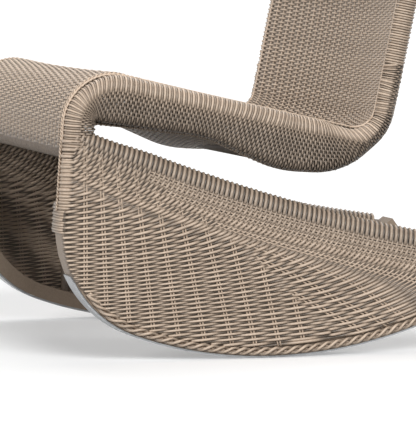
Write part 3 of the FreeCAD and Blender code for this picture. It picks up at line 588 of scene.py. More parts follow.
class CHAIR_OT_weave_faces(bpy.types.Operator):
    """Weave the sitting face: the back, the waist, the seat and the nose below the crest"""

    bl_idname = "chair.weave_faces"
    bl_label = "Weave Faces"

    def execute(self, context):
        radius = context.scene.chair_weave.weft_radius
        for number, (name, first, last, nodes) in enumerate(FACES):
            strands = Strands(name, radius, SEEDS["faces"] + number)
            weave_face(strands, rail_line, 1, front_sag, first, last)
            stake_face(strands, rail_line, 1, front_sag, first, last)
            finish_strands(strands, *nodes)
        return {"FINISHED"}


class CHAIR_OT_weave_underside(bpy.types.Operator):
    """Weave the underside of the seat up to the lumbar tube"""

    bl_idname = "chair.weave_underside"
    bl_label = "Weave Underside"

    def execute(self, context):
        strands = Strands("underside_weave", context.scene.chair_weave.weft_radius, SEEDS["underside"])
        weave_face(strands, under_line, -1, under_sag, 0.0, UNDER_END, UNDER_PARTS, UNDER_PITCH)
        stake_face(strands, under_line, -1, under_sag, 0.0, UNDER_END)
        finish_strands(strands, "rear_weave")
        return {"FINISHED"}


# Rolled edges. Each wrap joins a place on the rail to a place on the underside's edge. In its section,
# u is outward from the rail's plane and v is away from the underside. A wrap floats over the rail and
# then goes over and under stakes. FLANK picks a section's points from its float to its foot.
POST_DEPTH = 0.0172
POST_TURN_BEND = 0.012
ROLL_END_HEIGHT = 0.314
ROLL_RADIUS = 0.0132
ROLL_SWELL = 0.0038
ROLL_LEAN = 0.003
ROLL_DROP = 0.005
ROLL_TOP = 0.014
ROLL_SLANT = 0.002
ROLL_EVENING = 25
LEAST_DEPTH = 0.0005
SWELL_START = 0.02
SWELL_REACH = 0.09
CREST_SLIM = 0.6
CREST_SLIM_REACH = 0.06
FLOAT_START = -35
FLOAT_END = 95
ROUND_END = 125
ROUND_POINTS = 14
FLANK_START = 0.002
FLANK_STEP = 0.0028
FOOT_RADIUS = 0.0122
FOOT_TURN = (108, 132, 160, 190)
FLANK = slice(8, -len(FOOT_TURN))
FLOAT_SWING = 0.0005
FLOAT_TUCK = 0.0016
# Sunk floats are painted darker than proud ones: painted shade.
FLOAT_PAINTED_SHADES = {1: 1.0, -1: 0.62}
FLANK_SWING = 0.0015
FLANK_FADE = 0.003
# The flanks of the rolled edges are painted darker below the float: painted shade.
FLANK_PAINTED_SHADE = 0.45
FLANK_PAINTED_SHADE_START = 0.002
FLANK_PAINTED_SHADE_REACH = 0.02
FOOT_SPARE = 0.025
WRAP_FILL = 0.54
FLANK_FILL_LOSS = 0.05
WRAP_RADII = (0.0009, 0.0025)
ROLL_STAKE_THICKNESS = 0.55
# The stakes deep in the flank are painted dark: painted shade.
ROLL_STAKE_PAINTED_SHADE = 0.4
LEAST_POINTS = 5

inner_line = bent_line(
    (
        (lumbar, 0),
        (rear_turn, REAR_TURN_BEND),
        under_seat(*BELLY_REAR),
        under_seat(*BELLY),
        under_seat(*UNDER_FRONT),
        (under_post + np.array([POST_DEPTH, 0.0]), POST_TURN_BEND),
        (lip_point + np.array([POST_DEPTH, 0.0]), 0),
    )
)
ROLL_END = float(rail_line.nearest([to_height(post_foot, post_way, ROLL_END_HEIGHT)])[0])


class RollPlan:
    """Where the wraps of a seat's rolled edge go in side view."""

    def __init__(self, pitch):
        fine = np.arange(LUMBAR_RUN, ROLL_END, FINE_STEP)
        rail, way = rail_line.at(fine)
        foot_run = np.maximum.accumulate(inner_line.nearest(rail))
        window = np.ones(ROLL_EVENING) / ROLL_EVENING
        padded = np.pad(foot_run, ROLL_EVENING // 2, mode="reflect", reflect_type="odd")
        foot, _ = inner_line.at(np.convolve(padded, window, mode="valid"))
        down = foot - rail + left_of(way) * ROLL_SLANT
        down = down / np.linalg.norm(down, axis=1, keepdims=True)
        top = rail - down * ROLL_TOP
        top_step = np.linalg.norm(np.gradient(top, axis=0), axis=1)
        foot_step = np.linalg.norm(np.gradient(foot, axis=0), axis=1)
        travelled = np.cumsum(np.maximum(top_step, foot_step)) / pitch
        self.count = int(travelled[-1] - travelled[0])
        marks = np.linspace(travelled[0], travelled[-1], self.count)
        number = np.arange(len(fine))
        at = np.interp(marks, travelled, number)
        gain = np.interp(at, number[:-1] + 0.5, 1 / np.diff(travelled))

        def pick(values):
            return np.stack([np.interp(at, number, axis) for axis in values.T], -1)

        self.rail, self.down, foot = pick(rail), pick(down), pick(foot)
        self.down = self.down / np.linalg.norm(self.down, axis=1, keepdims=True)
        self.depth = np.maximum(np.sum((foot - self.rail) * self.down, axis=1), LEAST_DEPTH)
        self.top_gap = np.interp(at, number, top_step) * gain
        self.foot_gap = np.interp(at, number, foot_step) * gain
        run = np.interp(at, number, fine)
        self.swell = smooth((run - LUMBAR_RUN - SWELL_START) / SWELL_REACH)
        self.swell *= 1 - CREST_SLIM * smooth((run - CREST_RUN) / CREST_SLIM_REACH)

    def section(self, number):
        """u, v, the outward direction and the length past the float, along one wrap's section."""
        swell, depth = self.swell[number], self.depth[number]
        radius = ROLL_RADIUS + ROLL_SWELL * swell
        lean, drop = ROLL_LEAN * swell, ROLL_DROP * swell
        steepest = math.cos(math.radians(ROUND_END))
        lowest = math.acos(np.clip((FLANK_START - depth + drop) / radius, steepest, 1))
        turn = np.linspace(math.radians(FLOAT_START), lowest, ROUND_POINTS)
        u, v = lean + radius * np.sin(turn), -drop + radius * np.cos(turn)
        flank = np.array([FOOT_RADIUS - u[-1], -depth - v[-1]])
        length = np.linalg.norm(flank)
        count = max(1, round(length / FLANK_STEP))
        below = np.arange(1, count + 1) / count * length
        flank = flank / length
        foot = np.radians(FOOT_TURN)
        u = np.concatenate([u, u[-1] + flank[0] * below, FOOT_RADIUS * np.sin(foot)])
        v = np.concatenate([v, v[-1] + flank[1] * below, FOOT_RADIUS * np.cos(foot) - depth])
        out_u = np.concatenate([np.sin(turn), np.full(count, -flank[1]), np.sin(foot)])
        out_v = np.concatenate([np.cos(turn), np.full(count, flank[0]), np.cos(foot)])
        past = np.maximum(turn - math.radians(FLOAT_END), 0) * radius
        round_foot = length + FOOT_RADIUS * (foot - math.pi / 2)
        past = np.concatenate([past, past[-1] + below, past[-1] + round_foot])
        return u, v, out_u, out_v, past

    def places(self, number, side, u, v):
        spots = self.rail[number] - self.down[number] * np.asarray(v)[:, None]
        return in_space(side * (RAIL_X + np.asarray(u)), spots)


class CHAIR_OT_roll_seat_edges(bpy.types.Operator):
    """Wrap the deep rolled edges of the seat, woven from mid-height down"""

    bl_idname = "chair.roll_seat_edges"
    bl_label = "Roll Seat Edges"

    def execute(self, context):
        sizes = context.scene.chair_weave
        plan = RollPlan(sizes.wrap_pitch)
        levels = np.arange(sizes.roll_stake_pitch / 2, plan.depth.max(), sizes.roll_stake_pitch)
        for name, side in SIDES:
            strands = Strands(f"{name}_seat_roll", sizes.wrap_radius, SEEDS["rolls"] + side)
            for number in range(plan.count):
                self.lay_wrap(strands, plan, number, side, sizes)
            for level in levels:
                self.lay_stake(strands, plan, level, side)
            finish_strands(strands, f"{name}_seat_wrap")
        return {"FINISHED"}

    def lay_wrap(self, strands, plan, number, side, sizes):
        """One wrap: a float over the rail, then over and under the stakes down the flank, painted darker
        there as shade.
        """
        u, v, out_u, out_v, past = plan.section(number)
        sign = (-1) ** number
        woven = smooth(past / FLANK_FADE)
        swing = FLOAT_SWING * sign * (1 - woven)
        swing = swing + woven * FLANK_SWING * sign * np.cos(math.pi * past / sizes.roll_stake_pitch)
        if sign < 0:
            swing[0] -= FLOAT_TUCK
        share = np.clip((v[0] - v) / (plan.depth[number] + FOOT_SPARE), 0, 1)
        gap = plan.top_gap[number] * (1 - share) + plan.foot_gap[number] * share
        fill = WRAP_FILL - FLANK_FILL_LOSS * woven
        thickness = np.clip(gap * fill, *WRAP_RADII) / sizes.wrap_radius
        dim = 1 - FLANK_PAINTED_SHADE * smooth((past - FLANK_PAINTED_SHADE_START) / FLANK_PAINTED_SHADE_REACH)
        shade = painted_crease_shade(swing, FLANK_SWING) * dim * woven + (1 - woven) * FLOAT_PAINTED_SHADES[sign]
        places = plan.places(number, side, u + swing * out_u, v + swing * out_v)
        out = in_space(side * out_u, -plan.down[number] * out_v[:, None])
        strands.lay(places, thickness, shade, out)

    def lay_stake(self, strands, plan, level, side):
        """One lengthwise stake at a length below the floats, where the flank reaches that far."""
        run = []
        for number in range(plan.count + 1):
            reached = False
            if number < plan.count:
                u, v, _, _, past = plan.section(number)
                reached = past[FLANK][-1] > level
            if reached:
                here = [np.interp(level, past[FLANK], axis[FLANK]) for axis in (u, v)]
                run.append(plan.places(number, side, here[:1], here[1:])[0])
            else:
                if len(run) >= LEAST_POINTS:
                    strands.lay(run[::2], ROLL_STAKE_THICKNESS, ROLL_STAKE_PAINTED_SHADE)
                run = []


# Seam cords.
SEAM_RISE = 0.0160
SEAM_INSET = 0.0080
SEAM_FOOT = 0.222
SEAM_TWIST = 0.0105
SEAM_LEAD = 0.11
SEAM_DIP = 0.007
SEAM_DIP_REACH = 0.08
SEAM_RAIL_STEP = 0.003
SEAM_POST_SHARES = np.linspace(0.02, 1, 30)[:, None]
SEAM_POINTS = 0.0014
SEAM_PLIES = 2
SEAM_PLY = 0.0011
SEAM_RADIUS = 0.0013
# The seam cords are painted lighter than the weave: a painted highlight along the seam.
SEAM_PAINTED_HIGHLIGHT = 1.15


class CHAIR_OT_lay_seam_cords(bpy.types.Operator):
    """Lay the twisted cords along the seams of the nose and the posts"""

    bl_idname = "chair.lay_seam_cords"
    bl_label = "Lay Seam Cords"

    def execute(self, context):
        rail, _ = rail_line.at(np.arange(CREST_RUN - SEAM_LEAD, rail_line.length, SEAM_RAIL_STEP))
        foot = to_height(post_foot, post_way, SEAM_FOOT)
        line = Line(np.concatenate([rail, lip_point + (foot - lip_point) * SEAM_POST_SHARES]))
        distance = np.arange(0, line.length, SEAM_POINTS)
        place, way = line.at(distance)
        out = -left_of(way)
        rise = SEAM_RISE - SEAM_DIP * (1 - smooth(distance / SEAM_DIP_REACH))
        for name, side in SIDES:
            strands = Strands(f"{name}_seam_cord", SEAM_RADIUS, SEEDS["seams"] + side)
            for ply in range(SEAM_PLIES):
                turn = 2 * math.pi * (distance / SEAM_TWIST + ply / SEAM_PLIES)
                spots = place + out * (rise + SEAM_PLY * np.cos(turn))[:, None]
                x = side * (RAIL_X - SEAM_INSET + SEAM_PLY * np.sin(turn))
                around = in_space(side * np.sin(turn), out * np.cos(turn)[:, None])
                strands.lay(in_space(x, spots), 1.0, SEAM_PAINTED_HIGHLIGHT, around)
            finish_strands(strands)
        return {"FINISHED"}


# Wraps round tubes. Neighbours lie proud and sunk in turn, and the sunk ones are painted darker as
# shade.
WRAP_SWING = 0.0007
WRAP_PAINTED_SHADES = (0.75, 1.0)
EDGE_TURN = np.linspace(115, -215, 19)
BOW_FULLNESS = 0.999
CROSS_CLEAR = 0.012
LIP_TURN = np.linspace(28, -180, 13)
LIP_TAIL = np.linspace(0.01, 0.045, 4)
# The lip wraps under the nose are painted dark: painted shade.
LIP_PAINTED_SHADE = 0.40
LUMBAR_TURN = np.linspace(75, 195, 9)
# The lumbar wraps are painted a little darker: painted shade.
LUMBAR_PAINTED_SHADE = 0.9


def evenly(first, last, pitch):
    """Middles of equal steps from first to last, each about a pitch long."""
    count = int((last - first) / pitch)
    return first + (np.arange(count) + 0.5) * (last - first) / count


def ring(angles, radius):
    """Offsets across and towards the sitter round a tube."""
    return radius * np.cos(np.radians(angles)), radius * np.sin(np.radians(angles))


def edge_ring(number, radius):
    """Offsets of a wrap round an edge tube."""
    swing = WRAP_SWING * (-1) ** number * np.cos(np.radians(EDGE_TURN) * 2)
    return ring(EDGE_TURN, radius + swing)


class CHAIR_OT_wrap_back_edges(bpy.types.Operator):
    """Wrap the side tubes and the top bow of the back"""

    bl_idname = "chair.wrap_back_edges"
    bl_label = "Wrap Back Edges"

    def execute(self, context):
        sizes = context.scene.chair_weave
        radius = WRAP_REACH - sizes.wrap_radius
        places, ways = rail_line.at(evenly(BOW_BEND, LUMBAR_RUN, sizes.wrap_pitch))
        for name, side in SIDES:
            strands = Strands(f"{name}_back_border", sizes.wrap_radius, SEEDS["back_edges"] + side)
            for number, (place, way) in enumerate(zip(places, ways)):
                across, out = edge_ring(number, radius)
                turn = -left_of(way) * out[:, None]
                around = in_space(side * across, turn) / radius
                wrap = in_space(side * (RAIL_X + across), place + turn)
                strands.lay(wrap, 1.0, WRAP_PAINTED_SHADES[number % 2], around)
            finish_strands(strands, f"{name}_back_wrap")
        self.wrap_bow(sizes, radius)
        return {"FINISHED"}

    def wrap_bow(self, sizes, radius):
        """Wraps round the top bow, which lies in the plane of the upper back."""
        strands = Strands("top_border", sizes.wrap_radius, SEEDS["top_border"])
        bow = bent_line(
            (
                (np.array([RAIL_X, 0.0]), 0),
                (np.array([RAIL_X, BOW_BEND]), BOW_BEND * BOW_FULLNESS),
                (np.array([-RAIL_X, BOW_BEND]), BOW_BEND * BOW_FULLNESS),
                (np.array([-RAIL_X, 0.0]), 0),
            )
        )
        facing = left_of(upper_back_way)
        for number, (centre, way) in enumerate(zip(*bow.at(evenly(0, bow.length, sizes.wrap_pitch)))):
            across, out = edge_ring(number, radius)
            wide, towards = -left_of(way) * across[:, None], facing * out[:, None]
            flat = centre + wide
            spots = rail_top + upper_back_way * flat[:, 1:2] + towards
            around = in_space(wide[:, 0], upper_back_way * wide[:, 1:2] + towards) / radius
            strands.lay(in_space(flat[:, 0], spots), 1.0, WRAP_PAINTED_SHADES[number % 2], around)
        finish_strands(strands, "top_wrap")


class CHAIR_OT_wrap_cross_tubes(bpy.types.Operator):
    """Wrap the lip under the nose and the lumbar tube"""

    bl_idname = "chair.wrap_cross_tubes"
    bl_label = "Wrap Cross Tubes"

    def execute(self, context):
        sizes = context.scene.chair_weave
        radius = WRAP_REACH - sizes.wrap_radius
        clear = RAIL_X - CROSS_CLEAR
        across = evenly(-clear, clear, sizes.wrap_pitch)
        lip = Strands("lip_wraps", sizes.wrap_radius, SEEDS["lip"])
        front = left_of(post_way)
        tail = post_way * LIP_TAIL[:, None] - front * radius
        tail_out = np.tile(-front * radius, (len(tail), 1))
        for number, x in enumerate(across):
            out, up = ring(LIP_TURN, radius + WRAP_SWING * (-1) ** number)
            turn = front * out[:, None] + post_way * up[:, None]
            places = lip_point + np.concatenate([turn, tail])
            around = np.concatenate([turn, tail_out]) / radius
            lip.lay(in_space(x, places), 1.0, LIP_PAINTED_SHADE, in_space(0.0, around))
        finish_strands(lip, "lip_wrap", "lip_back_weave")
        waist = Strands("lumbar_wraps", sizes.wrap_radius, SEEDS["lumbar"])
        facing = left_of(lower_back_way)
        sag = float(front_sag(np.array([LUMBAR_RUN]))[0])
        for number, x in enumerate(across):
            up, rear = ring(LUMBAR_TURN, radius + WRAP_SWING * (-1) ** number)
            turn = lower_back_way * rear[:, None] + facing * up[:, None]
            places = lumbar + turn - facing * (sag * (1 - (x / RAIL_X) ** 2))
            waist.lay(in_space(x, places), 1.0, LUMBAR_PAINTED_SHADE, in_space(0.0, turn / radius))
        finish_strands(waist, "lumbar_wrap")
        return {"FINISHED"}


# Fins. Strands run from the top rail down and forward, over and under pairs of stakes: columns below
# the diagonal seam, and above it stakes that follow the top rail.
FIN_EDGE_DEPTH = 0.0173
FIN_FADE = 0.042
FIN_POINTS = 0.0043
# The fin's strands are painted darker just below the top rail: a painted shadow of the seat.
FIN_EDGE_PAINTED_SHADOW = 0.32
FIN_EDGE_PAINTED_SHADOW_REACH = 0.035
FIN_END_GAP = 0.002
FIN_TOP = 0.34
FIN_LOW_SLOPE = 4.0
FIN_LOW_START = 0.3013
FIN_LOW_REACH = 0.12
BRAID_FOLLOW = 0.8
FRONT_LIFT = 0.0125
FRONT_LIFT_START = 0.06
FRONT_LIFT_REACH = 0.08
WEFT_STEP = 0.002
WEFT_STEPS = 600
WEFT_OVERRUN = 0.03
SEAM = ((-0.190, 0.2646), (-0.135, 0.2326), (-0.102, 0.2104), (-0.051, 0.1737), (0.093, 0.039))
SEAM_FADE = 0.016
EDGE_STAKES = (0.007, 0.016, 0.025, 0.035, 0.046, 0.059, 0.074, 0.092, 0.113, 0.138, 0.168, 0.2)
EDGE_STAKES_BEYOND = 3
EDGE_STAKE_DIVE = 11.0
EDGE_STAKE_MIDDLE = 0.30
EDGE_STAKE_START = 0.01
EDGE_STAKE_POINTS = 0.008
EDGE_STAKE_DEPTHS = np.arange(0, 0.24, 0.002)
DEEPEST_STAKE = 0.4
DIVE_START = 0.03
DIVE_REACH = 0.08
COLUMN_START = -0.2809
COLUMN_STEP = 0.02655
COLUMN_SPREAD = 0.00068
COLUMN_HEIGHT = 0.187
COLUMN_LEAN = 13.0
COLUMN_FOOT = 0.012
COLUMN_POINTS = 0.006
COLUMN_CLEAR = 0.006
COLUMNS = 14
LEANING_COLUMNS = 6
PAIR_SHIFT = 0.0021
PAIR_LIFT = 0.0006
PAIR_THICKNESS = 0.75
# Column stakes are painted a little lighter than the other strands: painted light on their raised tops.
PAIR_PAINTED_LIGHT = 1.05
FIN_FILL = 0.60
LONG_RADII = (0.0016, 0.0027)
FILLED_GAP = 0.0042
FILLED_FADE = 0.0012
FILLER_RADII = (0.0012, 0.0022)
FILLER_GAP = 0.0023
FILLER_FADE = 0.0006
FILLER_SINK = 0.0018
# Sunk fillers are painted darker: painted shade.
FILLER_SUNK_PAINTED_SHADE = 0.5
END_SHADE = 0.9

# Ends of the fin's strands: tucked in, round the post, flat over the top of the rocker bar, or over the
# top rail.
TUCK_LENGTH = 0.002
TUCK_DEPTH = 0.0045
FIN_WRAP_FOOT = 0.192
FIN_WRAP_REACH = 0.03
POST_WRAP_RADIUS = 0.0142
POST_WRAP_SWING = 0.0006
POST_WRAP_TURN = (125, 105, 85, 65, 45, 25)
BAR_COVER_TOP = 0.234
BAR_COVER_REACH = -0.032
BAR_COVER_TURN = 80
FIN_RAISE = 0.0055
FIN_RAISE_START = 0.03
FIN_RAISE_REACH = 0.10
FIN_TOP_SINK = 0.0019
FIN_TOP_TURN = (25, 55, 90, 125, 160, 190)


def fin_depth(place):
    """Depth of side-view places below the fin's top rail, and the rail's way there."""
    gap = place - fin_centre
    reach = np.linalg.norm(gap, axis=-1)
    way = left_of(gap / reach[..., None])
    return reach - fin_radius, way


def braid_slope(y):
    """Slope of the fin's bottom edge in degrees."""
    run = np.asarray(y) - CONTACT_Y
    return np.degrees(np.arcsin(np.clip(run / ROCKER_REAR_RADIUS, -0.9, 0.9)))


def weft_way(place):
    """Direction of the fin's strands, rising to the rear: square to the top rail near it."""
    depth, way = fin_depth(place)
    top = np.degrees(np.arctan2(way[..., 1], way[..., 0])) + 90
    y = place[..., 0]
    front = FIN_LOW_SLOPE * smooth((y - CONTACT_Y + FIN_LOW_START) / FIN_LOW_REACH)
    low = np.maximum(front, braid_slope(y) * BRAID_FOLLOW)
    angle = np.radians(low + (top - low) * np.exp(-np.maximum(depth, 0) / FIN_FADE))
    return np.stack([np.cos(angle), np.sin(angle)], -1)


def fin_weft(start, step=WEFT_STEP):
    """A strand from the top rail down and forward to the fin's lower or front edge, front end first."""
    places = [start]
    for _ in range(WEFT_STEPS):
        here = places[-1]
        way = weft_way(here)
        middle = weft_way(here - way * step / 2)
        after = here - middle * step
        places.append(after)
        if after[0] < fin_front[0] - WEFT_OVERRUN or not above_edge(after):
            break
    return np.array(places)[::-1]


def above_edge(place):
    """Whether a side-view place lies on the fin's side of its lower and front edge."""
    y, z = place
    if y > CONTACT_Y:
        return np.linalg.norm(place - rear_centre) < ROCKER_REAR_RADIUS - FIN_EDGE_DEPTH
    nose = place - nose_centre
    depth = FIN_EDGE_DEPTH - FRONT_LIFT * smooth((z - FRONT_LIFT_START) / FRONT_LIFT_REACH)
    if z > post_foot[1]:
        return y > to_height(post_foot, post_way, z)[0]
    if z > nose_centre[1]:
        return nose[0] > depth - ROCKER_NOSE_RADIUS
    if nose @ np.array([nose_way[1], -nose_way[0]]) > 0:
        return np.linalg.norm(nose) < ROCKER_NOSE_RADIUS - depth
    return np.linalg.norm(place - front_centre) < ROCKER_FRONT_RADIUS - FIN_EDGE_DEPTH


def column_places(height):
    """y of every column of stakes at heights."""
    number = np.arange(COLUMNS)
    foot = CONTACT_Y + COLUMN_START + COLUMN_STEP * number + COLUMN_SPREAD * number**2
    lean = np.tan(np.radians(COLUMN_LEAN * np.minimum(number / LEANING_COLUMNS, 1)))
    return foot - lean * (np.asarray(height)[..., None] - COLUMN_HEIGHT)


def column_count(places):
    """How many columns lie before side-view places, with parts of a step."""
    columns = column_places(places[:, 1])
    number = np.arange(COLUMNS)
    count = np.array([np.interp(y, row, number) for y, row in zip(places[:, 0], columns)])
    before = np.minimum(places[:, 0] - columns[:, 0], 0) / COLUMN_STEP
    after = np.maximum(places[:, 0] - columns[:, -1], 0) / (2 * COLUMN_SPREAD * COLUMNS + COLUMN_STEP)
    return count + before + after


def edge_run(places):
    """Distance along the fin's top rail abreast of side-view places."""
    gap, start = places - fin_centre, fin_front - fin_centre
    turn = np.arctan2(gap[:, 1], gap[:, 0]) - math.atan2(start[1], start[0])
    return np.abs((turn + math.pi) % (2 * math.pi) - math.pi) * fin_radius


def edge_stake_count(run, depth):
    """How many of the stakes below the top rail lie above a depth, with parts of a step."""
    levels = np.concatenate(([0.0], EDGE_STAKES, [DEEPEST_STAKE]))
    count = np.interp(depth, levels, np.arange(len(levels)))
    dive = EDGE_STAKE_DIVE * (run - EDGE_STAKE_MIDDLE)
    return count - dive * smooth((depth - DIVE_START) / DIVE_REACH)


def over_seam(places):
    """Share of the upper weave at side-view places: 1 above the diagonal seam and 0 below it."""
    seam = np.array([spot(*place) for place in SEAM])
    height = np.interp(places[:, 0], seam[:, 0], seam[:, 1], left=FIN_TOP, right=0.0)
    return smooth((places[:, 1] - height) / SEAM_FADE + 0.5)


def beside(places, others):
    """Distance from places of one strand to another strand."""
    gaps = places[:, None, :] - others[None, :, :]
    nearest = np.argmin(np.sum(gaps**2, axis=2), axis=1)
    way = others[np.minimum(nearest + 1, len(others) - 1)] - others[np.maximum(nearest - 1, 0)]
    way = way / np.linalg.norm(way, axis=1, keepdims=True)
    gap = places - others[nearest]
    return np.abs(gap[:, 0] * way[:, 1] - gap[:, 1] * way[:, 0])


def thinned(places, step):
    """Places a step apart along a strand."""
    line = Line(places)
    marks = np.linspace(0, line.length, max(3, int(line.length / step) + 1))
    return line.at(marks)[0]


class CHAIR_OT_weave_fins(bpy.types.Operator):
    """Weave the side fins over their rails"""

    bl_idname = "chair.weave_fins"
    bl_label = "Weave Fins"

    def execute(self, context):
        sizes = context.scene.chair_weave
        count = int(fin_line.length / sizes.fin_weft_pitch)
        marks = np.linspace(FIN_END_GAP, fin_line.length - FIN_END_GAP, 2 * count + 1)
        starts, _ = fin_line.at(marks)
        long_wefts = [fin_weft(start) for start in starts[::2]]
        fillers = [fin_weft(start) for start in starts[1::2]]
        for name, side in SIDES:
            strands = Strands(f"{name}_fin_weave_strands", sizes.fin_weft_radius, SEEDS["fins"] + side)
            for number, weft in enumerate(long_wefts):
                other = long_wefts[number + 1 if number < count else number - 1]
                self.lay_long(strands, weft, other, number, side, sizes)
            for weft, other in zip(fillers, long_wefts):
                self.lay_filler(strands, weft, other, side, sizes)
            self.lay_columns(strands, side)
            self.lay_edge_stakes(strands, side)
            finish_strands(strands, f"{name}_fin_weave")
        return {"FINISHED"}

    def plan_strand(self, weft, other):
        """A strand's points, its gap to another strand, the stakes above it and its painted shadow below
        the top rail.
        """
        path = thinned(weft, FIN_POINTS)
        depth, _ = fin_depth(path)
        dim = 1 - FIN_EDGE_PAINTED_SHADOW * np.exp(-np.maximum(depth, 0) / FIN_EDGE_PAINTED_SHADOW_REACH)
        return path, beside(path, other), edge_stake_count(edge_run(path), depth), dim

    def lay_long(self, strands, weft, other, number, side, sizes):
        """A strand that runs from the top rail to the fin's edge, over and under the stakes."""
        path, gap, edge, dim = self.plan_strand(weft, other)
        upper = over_seam(path)
        plain = upper * wave(math.pi * (edge + number))
        plain = plain + (1 - upper) * wave(math.pi * (column_count(path) + number))
        filled = smooth((gap - FILLED_GAP) / FILLED_FADE)
        lift = sizes.fin_wave * (filled * wave(math.pi * edge) + (1 - filled) * plain)
        thickness = np.clip(gap * FIN_FILL, *LONG_RADII) / sizes.fin_weft_radius
        shades = painted_crease_shade(lift, sizes.fin_wave) * dim, painted_crease_shade(-lift, sizes.fin_wave)
        front, top = self.front_end(weft, side, number), self.top_end(weft, side, WRAP_SWING)
        parts = (front, in_space(side * (FIN_X + lift), path), top)
        self.lay_parts(strands, parts, thickness, shades, side)

    def lay_filler(self, strands, weft, other, side, sizes):
        """A strand between two long ones, sunk behind them where they stand close and painted darker
        there as shade.
        """
        path, gap, edge, dim = self.plan_strand(weft, other)
        lift = -sizes.fin_wave * wave(math.pi * edge)
        room = smooth((gap - FILLER_GAP) / FILLER_FADE)
        dim = dim * (FILLER_SUNK_PAINTED_SHADE + (1 - FILLER_SUNK_PAINTED_SHADE) * room)
        shades = painted_crease_shade(lift, sizes.fin_wave) * dim, painted_crease_shade(-lift, sizes.fin_wave)
        lift = lift * room - FILLER_SINK * (1 - room)
        thickness = np.clip(gap * FIN_FILL, *FILLER_RADII) / sizes.fin_weft_radius
        front, top = self.front_end(weft, side, 1), self.top_end(weft, side, -WRAP_SWING)
        parts = (front, in_space(side * (FIN_X + lift), path), top)
        self.lay_parts(strands, parts, thickness, shades, side)

    def lay_parts(self, strands, parts, thickness, shades, side):
        """A strand of a front end, a woven run and a top end, with its outer and inner painted shades.
        """
        front, rows, top = parts
        before, after = np.ones(len(front)), np.ones(len(top))
        out = np.tile((side, 0.0, 0.0), (len(rows), 1))
        outer, inner = (
            np.concatenate([before * END_SHADE, shade, after * shade[-1]]) for shade in shades
        )
        strands.lay(
            np.concatenate(parts),
            np.concatenate([before * thickness[0], thickness, after * thickness[-1]]),
            outer,
            np.concatenate([self.around(front, side, rows[0]), out, self.around(top, side, rows[-1])]),
            inner,
        )

    def around(self, places, side, root):
        """Ways out of the weave along an end that turns round a rail."""
        if len(places) < 3:
            return np.tile((side, 0.0, 0.0), (len(places), 1))
        middle = np.array([side * RAIL_X, *root[1:]])
        if abs(places[0, 2] - places[-1, 2]) < 1e-6:
            middle[1] = to_height(post_foot, post_way, places[0, 2])[0]
        away = places - middle
        return away / np.linalg.norm(away, axis=1, keepdims=True)

    def front_end(self, weft, side, number):
        """The strand's front end: round the post where it meets one, or tucked in at the edge."""
        first, way = weft[0], weft[1] - weft[0]
        way = way / np.linalg.norm(way)
        if first[1] < FIN_WRAP_FOOT or first[0] > post_foot[0] + FIN_WRAP_REACH:
            end = first - way * TUCK_LENGTH
            return np.array([(side * (FIN_X - TUCK_DEPTH), *end)])
        post = to_height(post_foot, post_way, first[1])
        radius = POST_WRAP_RADIUS + POST_WRAP_SWING * (-1) ** number
        turn = np.radians(POST_WRAP_TURN)
        across, ahead = radius * np.cos(turn), radius * np.sin(turn)
        if first[1] < BAR_COVER_TOP:
            flat = turn > math.radians(BAR_COVER_TURN)
            across = np.where(flat, np.linspace(BAR_COVER_REACH, 0.0, len(turn)), across)
            ahead = np.where(flat, radius, ahead)
        spots = np.stack([post[0] - ahead, np.full(len(turn), first[1])], -1)
        return in_space(side * (RAIL_X + across), spots)

    def top_end(self, weft, side, proud):
        """The strand's upper end, over the top rail and down its inner side."""
        last = weft[-1]
        _, way = fin_depth(last)
        up = left_of(way)
        up = up * np.sign(up[1])
        radius = WRAP_REACH - FIN_TOP_SINK + proud
        raised = FIN_RAISE * smooth((edge_run(last[None])[0] - FIN_RAISE_START) / FIN_RAISE_REACH)
        turn = np.radians(FIN_TOP_TURN)
        spots = last + up * ((radius + raised) * np.sin(turn))[:, None]
        return in_space(side * (RAIL_X + radius * np.cos(turn)), spots)

    def lay_columns(self, strands, side):
        """Pairs of stakes from the bottom edge up to the diagonal seam."""
        height = np.arange(COLUMN_FOOT, FIN_TOP, COLUMN_POINTS)
        columns = column_places(height)
        for number in range(COLUMNS):
            line = np.stack([columns[:, number], height], -1)
            depth, _ = fin_depth(line)
            inside = (over_seam(line) < 0.5) & (depth > COLUMN_CLEAR)
            inside &= np.array([above_edge(place) for place in line])
            if inside.sum() >= LEAST_POINTS:
                self.lay_pair(strands, line[inside], side)

    def lay_edge_stakes(self, strands, side):
        """Pairs of stakes below the top rail, down to the diagonal seam."""
        runs = np.arange(EDGE_STAKE_START, fin_line.length, EDGE_STAKE_POINTS)
        edge, way = fin_line.at(runs)
        under = left_of(way)
        under = under * -np.sign(under[:, 1:])
        for number in range(1, len(EDGE_STAKES) + EDGE_STAKES_BEYOND + 1):
            line = []
            for run, start, down in zip(runs, edge, under):
                count = edge_stake_count(run, EDGE_STAKE_DEPTHS)
                place = start + down * np.interp(number, count, EDGE_STAKE_DEPTHS)
                if count[0] < number < count[-1] and above_edge(place):
                    line.append(place)
            if len(line) >= LEAST_POINTS:
                line = np.array(line)
                line = line[over_seam(line) > 0.5]
            if len(line) >= LEAST_POINTS:
                self.lay_pair(strands, line, side)

    def lay_pair(self, strands, line, side):
        """Two stakes beside each other along a side-view line."""
        way = np.gradient(line, axis=0)
        beside_it = left_of(way / np.linalg.norm(way, axis=1, keepdims=True))
        for shift in (-PAIR_SHIFT, PAIR_SHIFT):
            places = in_space(side * (FIN_X + PAIR_LIFT), line + beside_it * shift)
            strands.lay(places, PAIR_THICKNESS, PAIR_PAINTED_LIGHT, (side, 0, 0))


